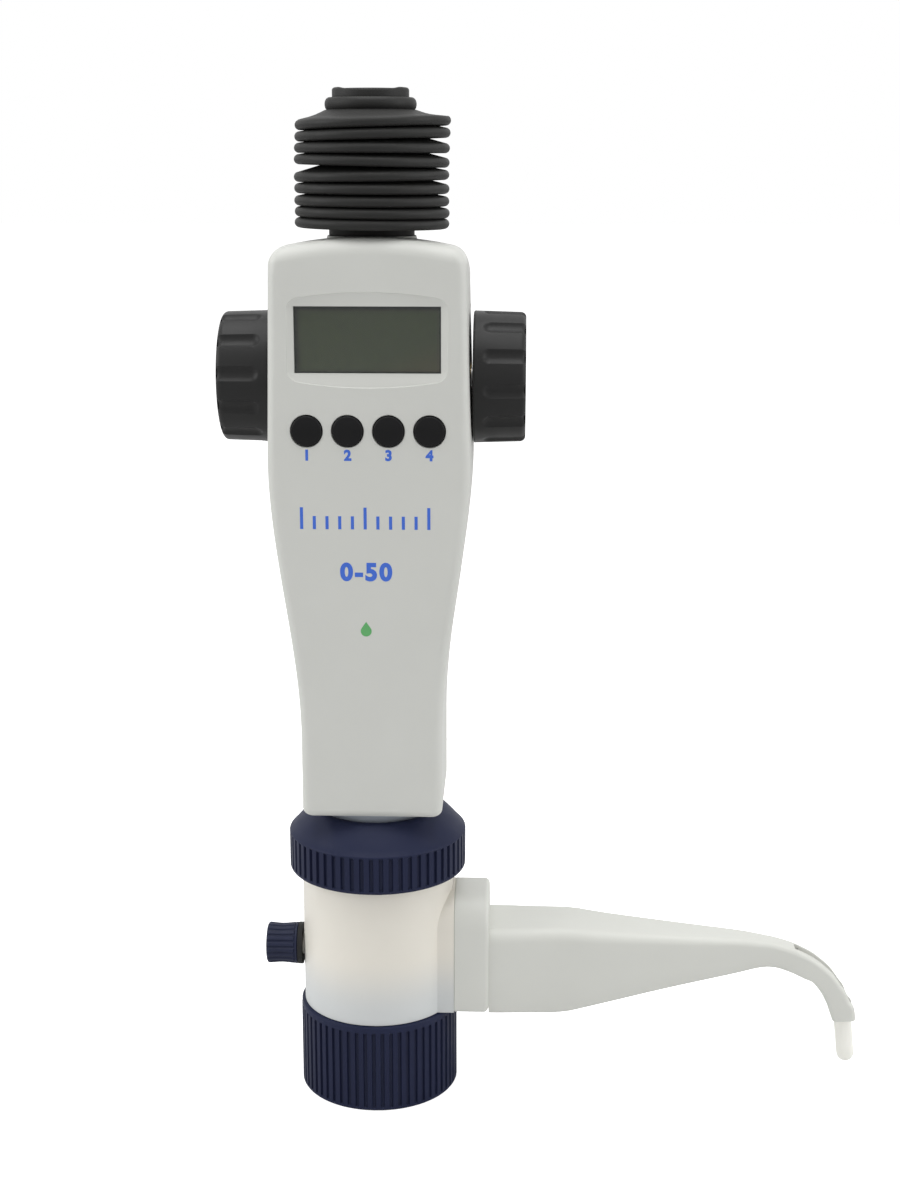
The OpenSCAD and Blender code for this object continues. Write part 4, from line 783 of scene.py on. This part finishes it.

# Display: a grey-green liquid crystal cell under a clear acrylic window. Switched
# off it is blank and a little brown at lower right; the recess's shadow is painted dark along its
# edges.
def lcd_colour(tree):
    """Grey-green to brown across the cell, with painted shadow of the recess dark along its edges.
    """
    split = wire(tree, "SeparateXYZ", Vector=wire(tree, "TexCoord").outputs["Object"])

    def ramp(value, low, high, to_min=0.0):
        return wire(tree, "MapRange", {"interpolation_type": "SMOOTHSTEP"}, Value=value,
                    From_Min=low, From_Max=high, To_Min=to_min).outputs[0]

    along = wire(tree, "MapRange", Value=split.outputs["X"], From_Min=-0.023, From_Max=0.023)
    up = wire(tree, "MapRange", Value=split.outputs["Z"], From_Min=(window_z - 10.3) * MM,
              From_Max=(window_z + 10.3) * MM)
    brown = ramp(maths(tree, "SUBTRACT", along.outputs[0], up.outputs[0]), 0.35, 1.0)
    tint = wire(tree, "Mix", {"data_type": "RGBA"}, i0=brown, i6=rgb(64, 71, 46),
                i7=rgb(78, 72, 46))
    # Painted shadow of the recess: the cell's colour is darkened towards each edge of the window.
    clear = 1.0
    for axis, middle, dark, light in (("X", 0, -window_half_w + 0.2, -window_half_w + 2.2),
                                      ("X", 0, window_half_w - 0.2, window_half_w - 1.0),
                                      ("Z", window_z, -window_half_h + 0.2, -window_half_h + 0.9),
                                      ("Z", window_z, window_half_h - 0.9, window_half_h - 1.7)):
        clear = maths(tree, "MULTIPLY", clear, ramp(
            split.outputs[axis], (middle + dark) * MM, (middle + light) * MM, 0.1))
    return wire(tree, "VectorMath", {"operation": "SCALE"}, i0=tint.outputs[2],
                Scale=clear).outputs[0]


paint(surface("lcd_glass", lcd_colour, 0.35, spread=0.02, unevenness=0.05, grain=0.0003,
              depth=0.0), "lcd_panel")
pane = brick("window_pane", (window_low.x, window_low.y + 0.05, window_low.z),
             (window_high.x, window_high.y - 0.15, window_high.z))
piece(pane, glass, "housing", "window_clear", "display_window")

# Circuit board, switches and encoder: a green board on four posts behind the keys,
# with black switches soldered to it, and a slotted disc read by a black sensor.
board_green = surface("solder_mask", rgb(28, 96, 58), 0.3, spread=0.1, grain=0.001)
paint(board_green, "circuit_board")
part_black = surface("part_black", rgb(40, 40, 42), 0.4, spread=0.08)
paint(part_black, "key_switches", "encoder_sensor", "encoder_disc", "battery_tray")

# Keys: four black, slightly crowned push buttons with a flange behind the wall.
# Moulded in soft satin plastic; each slides in its own hole.
key_black = surface("key_black", rgb(20, 20, 21), 0.4, spread=0.06, unevenness=0.2, grain=0.0003,
                    depth=0.000012, Specular_IOR_Level=0.15)
flange_y, crown_r = -21.7, 0.55
for i, (low, high) in enumerate(keys):
    flange_r, face = (high.z - low.z) / 2, low.y
    key_r = flange_r - 0.8
    profile = [(1.4, high.y - face), (1.4, flange_y + 0.6 - face),
               (flange_r, flange_y + 0.6 - face), (flange_r, flange_y - face),
               (key_r, flange_y - face), (key_r, 0.9)]
    profile += bend(key_r - crown_r, 0.9, crown_r, 6, 1, down=True)
    profile += [(key_r - crown_r - (key_r - 0.75) * k / 6, 0.35 - 0.35 * math.sin(a))
                for k, a in enumerate(quarter(6, 1), 1)]
    where = stood((key_x[i], face, key_z), -math.pi / 2, "X")
    piece(mesh_of("key_cap_%d" % (i + 1), turned(profile, 72, None, where)), key_black,
          "key_%d_body" % (i + 1), "key_black", "key_%d" % (i + 1))

# Printed marks: a thin layer of screen printed ink on the front. Plain numbers for
# the keys and the capacity, a plain scale of strokes and a green drop.
blue_ink = surface("blue_ink", rgb(58, 104, 206), 0.5, spread=0.03, depth=0.000003)
green_ink = surface("green_ink", rgb(92, 168, 100), 0.5, spread=0.03, depth=0.000003)
ink_y = front_y - 0.01


def printed(name, words, x, z, height, apart=1.0):
    """Bold lettering, centred on x and z, with capitals of the given height."""
    text = bpy.data.curves.new(name, "FONT")
    text.body, text.size, text.align_x = words, height / 0.69, "CENTER"
    text.extrude, text.offset, text.resolution_u = 0.02, height * 0.07, 6
    text.space_character = apart
    mesh = baked(placed(text), name)
    mesh.transform(Matrix.Scale(MM, 4) @ stood((x, ink_y, z - height / 2), math.pi / 2, "X"))
    joined = bmesh.new()
    joined.from_mesh(mesh)
    bmesh.ops.remove_doubles(joined, verts=joined.verts, dist=0.000001)
    joined.to_mesh(mesh)
    joined.free()
    piece(mesh, blue_ink, "housing", "housing_white")


for i, x in enumerate(key_x):
    printed("key_number_%d" % (i + 1), str(i + 1), x, key_z - 7.5, 3.1)
printed("capacity_numbers", "0-50", -1.0, body_z + 82.9, 5.3, 1.2)


def inked(name, outlines, ink):
    """Thin solids of ink, one for each outline of (x, z) points, in one mesh."""
    points, faces = [], []
    for outline in outlines:
        n, count = len(points), len(outline)
        points += [(x, ink_y + y, z) for y in (-0.02, 0.02) for x, z in outline]
        faces += [tuple(range(n, n + count)), tuple(range(n + count, n + 2 * count))[::-1]]
        faces += [(n + k, n + (k + 1) % count, n + count + (k + 1) % count, n + count + k)
                  for k in range(count)]
    mesh = bpy.data.meshes.new(name)
    mesh.from_pydata([Vector(p) * MM for p in points], [], faces)
    piece(settled(mesh), ink, "housing", "housing_white")


scale_low, scale_left, scale_step, stroke_half = body_z + 96.6, -21.2, 4.01, 0.5
strokes = [(scale_left + scale_step * k, scale_low + (4.2 if k % 5 else 7.0)) for k in range(11)]
inked("printed_scale", [[(x - stroke_half, scale_low), (x + stroke_half, scale_low),
                         (x + stroke_half, top), (x - stroke_half, top)] for x, top in strokes],
      blue_ink)
drop_x, drop_z, drop_r = -1.2, body_z + 63.5, 1.75
drop = [math.radians(125 - 12.5 * k) for k in range(21)]
inked("printed_drop", [[(drop_x, drop_z + 3.1)] + [
    (drop_x + drop_r * math.sin(a), drop_z - drop_r * math.cos(a)) for a in drop]], green_ink)

# Gear frame and gears: a milled alloy frame on the glass carries two shafts in brass
# bushes; brass pinions and a nylon wheel drive the rack that is cut in the rod.
alloy = metal("milled_alloy", rgb(190, 191, 190), 0.38, 0.0006)
paint(alloy, "gear_frame")
brass = metal("turned_brass", rgb(196, 168, 108), 0.28, 0.0004)
paint(brass, "shaft_bushes", "drive_pinion", "rack_pinion")
nylon = surface("gear_nylon", rgb(222, 219, 205), 0.4, spread=0.02)
paint(nylon, "reduction_gear")

# Hand wheels: black moulded cups on both ends of the shaft, with twelve flutes
# that start round near the housing and run out at the end; satin, finely grained.
knob_black = surface("knob_black", rgb(36, 36, 36), 0.42, spread=0.08, unevenness=0.2, grain=0.0004,
                     depth=0.00002, Specular_IOR_Level=0.2)
flutes, flute_wide, flute_deep, flute_from = 12, 4.7, 1.0, 3.2
flute_arc = (flute_wide ** 2 / 4 + flute_deep ** 2) / 2 / flute_deep
wheel_r, end_r, end_edge, cup = 21.3, 20.8, 1.6, 2.5
for node, side, phase in (("left_wheel", -1, 8.5), ("right_wheel", 1, 5.7)):
    low, high = sides(node)
    wheel_w = high.x - low.x

    def wheel_shape(r, h, a):
        if r < end_r - 2 or h > wheel_w - 0.05:
            return r
        off = ((a - math.radians(phase)) * flutes / (2 * math.pi) + 0.5) % 1 - 0.5
        across = abs(off) * 2 * math.pi * end_r / flutes
        before = max(flute_from + flute_wide / 2 - h, 0)
        cut = flute_arc ** 2 - across ** 2 - before ** 2
        deep = math.sqrt(cut) - (flute_arc - flute_deep) if cut > 0 else 0
        return r - max(deep, 0)

    profile = [(3.0, wheel_w - cup), (3.0, 0), (7.0, 0), (7.0, wheel_w - cup),
               (wheel_r - cup, wheel_w - cup), (wheel_r - cup, 0), (wheel_r - 0.5, 0),
               (wheel_r - 0.15, 0.15), (wheel_r, 0.5)]
    profile += [(wheel_r + (end_r - wheel_r) * h / wheel_w, h) for h in
                [0.5 + (wheel_w - end_edge - 0.5) * k / 36 for k in range(1, 37)]]
    profile += bend(end_r - end_edge, wheel_w - end_edge, end_edge, 8, 1)
    profile += [(17.2, wheel_w), (16.8, wheel_w - 0.4), (6.2, wheel_w - 0.4), (5.8, wheel_w),
                (0.6, wheel_w)]
    where = stood((low.x if side > 0 else high.x, shaft_y, shaft_z), side * math.pi / 2, "Y")
    piece(mesh_of(node + "_grip", turned(profile, flutes * 32, wheel_shape, where), sharp=32),
          knob_black, "hand_wheels", "knob_black", node)

# Batteries: two plain sleeved cells side by side in a black tray, with nickel
# contacts, behind a hinged door that is moulded like the housing.
cell_wrap = surface("cell_sleeve", rgb(88, 118, 96), 0.25, spread=0.05)
paint(cell_wrap, "battery_cells")
nickel = metal("nickel", rgb(212, 210, 205), 0.22, 0.0005)
paint(nickel, "battery_contacts")
hinge_r, hinge_y, hinge_z = 1.5, back_y - 1.5, door_low.z + 1.5
door_t, door_corner, door_edge, grip_z = 2.0, 2.0, 0.4, door_high.z - 5.0


def door_plan(inset, y):
    """Outline of the door, with round upper corners."""
    half, high_z, r = door_half - inset, door_high.z - inset, door_corner
    ring = [Vector((half * (2 * k / 24 - 1), y, hinge_z)) for k in range(25)]
    ring += [Vector((half, y, hinge_z + (high_z - r - hinge_z) * k / 8)) for k in range(1, 8)]
    ring += [Vector((x, y, z)) for x, z in bend(half - r, high_z - r, r, 6)]
    return ring + [Vector((-p.x, p.y, p.z)) for p in reversed(ring[25:])]


def across(r, half, y, z, steps):
    return rod(r, (-half, y, z), (half, y, z), steps)


door_rings = [door_plan(0.0, back_y - door_t)] + [
    door_plan(door_edge * (1 - math.cos(a)), back_y - door_edge + door_edge * math.sin(a))
    for a in quarter(4)]
door_mesh = carved(
    "cell_door", mesh_of("door", door_rings),
    ("UNION", across(hinge_r, door_half, hinge_y, hinge_z, 40)),
    ("UNION", across(0.8, door_half + 1.6, hinge_y, hinge_z, 24)),
    *[across(1.1, 9, back_y + 0.6, grip_z - 2.4 * k, 24) for k in range(3)])
piece(settled(door_mesh, 30), housing_white, "door", "housing_white", "battery_door")

# Bellows: a soft black rubber sleeve of nine folds that keeps dust off the rod.
# Dipped on a former, so its folds sit unevenly; the real sleeve stretches as the piston rises, and
# here it keeps one shape.
bellows_low, bellows_high = sides("bellows")
foot_z, top_z = bellows_low.z, bellows_high.z
fold_r, fold_half, sleeve_r, crown = 24.34, 1.55, 12.0, top_z - foot_z
# Each fold's height, how far it leans, and how far it is pushed aside
folds = [(4.03, -0.28, 0.1), (7.34, -0.32, 0.2), (10.86, -0.17, 0.1), (14.64, -0.14, 0.15),
         (18.49, 0.29, 0.1), (23.02, -0.54, 0.2), (26.94, -0.05, 0.3), (30.98, 0.59, 0.5),
         (34.57, 0.71, 0.65)]
bead = [(13.8, 3.75), (14.1, 3.3), (14.3, 2.5), (14.3, 1.8), (14.15, 1.1), (13.8, 0.5), (13.2, 0.1),
        (sleeve_r, 0.0)]
flare = [(22.4, 36.15), (20.9, 36.4), (19.0, 36.75), (17.2, 37.25), (15.6, 37.85), (14.4, 38.35)]


def fold_section(a):
    """(radius, height) down the sleeve's side at one angle; each fold leans its own way."""
    mids = [mid + lean * math.cos(a) for mid, lean, shift in folds]
    rims = [fold_r - fold_half + shift * math.cos(a) for mid, lean, shift in folds]
    last = len(folds) - 1
    row = [(sleeve_r, 0.0), (13.3, 0.0), (13.5, 0.2), (13.5, mids[0] - fold_half - 0.4)]
    row.append((rims[0] - 5.5, mids[0] - fold_half * 1.05))
    for i, (mid, rim) in enumerate(zip(mids, rims)):
        row += [(rim + fold_half * math.cos(t), mid + fold_half * math.sin(t))
                for t in [math.radians(-84 + 14 * k) for k in range(11 if i == last else 13)]]
        if i < last:
            gap = mids[i + 1] - mid - 2 * fold_half
            row.append((rim - 1.2 - 2.6 * max(gap, 0), mids[i + 1] - fold_half * 0.98 - 0.06 * gap))
    row += [(r, z + (r - 14) / 10 * folds[last][1] * math.cos(a)) for r, z in flare]
    row += [(r, crown - down) for r, down in bead]
    return row + [(sleeve_r, crown * k / 12) for k in range(11, 0, -1)]


round_it = spokes(128)
fold_rings = [[(r * math.cos(a), r * math.sin(a), foot_z + z) for a, (r, z) in zip(round_it, row)]
              for row in zip(*[fold_section(a) for a in round_it])]
folded = piece(mesh_of("folded_sleeve", fold_rings, "loop", 50), rubber, None, "rubber_black",
               "bellows")
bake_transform(folded)

# Bellows cap: a black rubber-faced plug pushed on the rod's end. Its top has a
# round edge, a shallow dish and a low dip across the middle.
plug_low, plug_high = sides("bellows_cap")
plug_r, plug_edge, plug_top = 12, 0.9, plug_high.z
plug_profile = [(4.5, top_z), (4.5, plug_low.z), (11.7, plug_low.z), (11.7, top_z),
                (plug_r, top_z + 0.05)]
plug_profile += bend(plug_r - plug_edge, plug_top - plug_edge, plug_edge, 6)
plug_profile += [(9.9, plug_top), (9.4, plug_top - 0.25), (8.8, plug_top - 0.4),
                 (0.8, plug_top - 0.5)]
plug_rings = turned(plug_profile, 96)
for ring in plug_rings[5:]:
    for point in ring:
        point.z -= 0.4 * ease((9.6 - abs(point.x)) / 2.2) * ease((point.z - plug_top + 2) / 1.6)
piece(mesh_of("plug_cap", plug_rings), rubber, "plunger", "rubber_black", "bellows_cap")

# Studio: a pale seamless floor, soft light from above and both sides.
# The background shows white to the camera, and the floor keeps the shadow.
floor_half, floor_z = 8, -0.0001
floor_mesh = bpy.data.meshes.new("floor")
floor_mesh.from_pydata([(x * floor_half, y * floor_half, floor_z) for x, y in
                        ((-1, -1), (1, -1), (1, 1), (-1, 1))], [], [(0, 1, 2, 3)])
floor = placed(floor_mesh)
floor_paint = bpy.data.materials.new("floor_paint")
floor_paint.use_nodes = True
floor_tree = floor_paint.node_tree
floor_tree.nodes.clear()
matt = wire(floor_tree, "BsdfDiffuse", Color=(0.8, 0.8, 0.8, 1))
to_camera = wire(floor_tree, "LightPath").outputs["Is Camera Ray"]
lift = wire(floor_tree, "Emission", Color=(1, 1, 1, 1),
            Strength=maths(floor_tree, "MULTIPLY", to_camera, 0.8))
both = wire(floor_tree, "AddShader", i0=matt.outputs[0], i1=lift.outputs[0])
wire(floor_tree, "OutputMaterial", Surface=both.outputs[0])
floor_mesh.materials.append(floor_paint)

world = bpy.data.worlds.new("studio")
scene.world = world
world.use_nodes = True
sky = world.node_tree
sky.nodes.clear()
ray = wire(sky, "LightPath")
seen = maths(sky, "MAXIMUM", ray.outputs["Is Camera Ray"], ray.outputs["Is Glossy Ray"])
seen = maths(sky, "MAXIMUM", seen, ray.outputs["Is Transmission Ray"])
ambient = wire(sky, "Background", Color=(1, 1, 1, 1), Strength=0.41)
white = wire(sky, "Background", Color=(1, 1, 1, 1), Strength=1.0)
mixed = wire(sky, "MixShader", i0=seen, i1=ambient.outputs[0], i2=white.outputs[0])
wire(sky, "OutputWorld", Surface=mixed.outputs[0])


def softbox(name, position, target, size, power):
    light = bpy.data.lights.new(name, "AREA")
    light.shape, light.size, light.energy = "SQUARE", size, power
    aimed(placed(light), position, Vector(target) - Vector(position))


softbox("top_box", (0, -0.1, 1.5), (0, 0, 0.15), 1.2, 14)
softbox("left_box", (-1.2, -0.3, 0.7), (0, 0, 0.18), 0.9, 7)
softbox("right_box", (1.2, -0.25, 0.6), (0, 0, 0.18), 0.9, 5.5)

scene.view_settings.view_transform = "Standard"
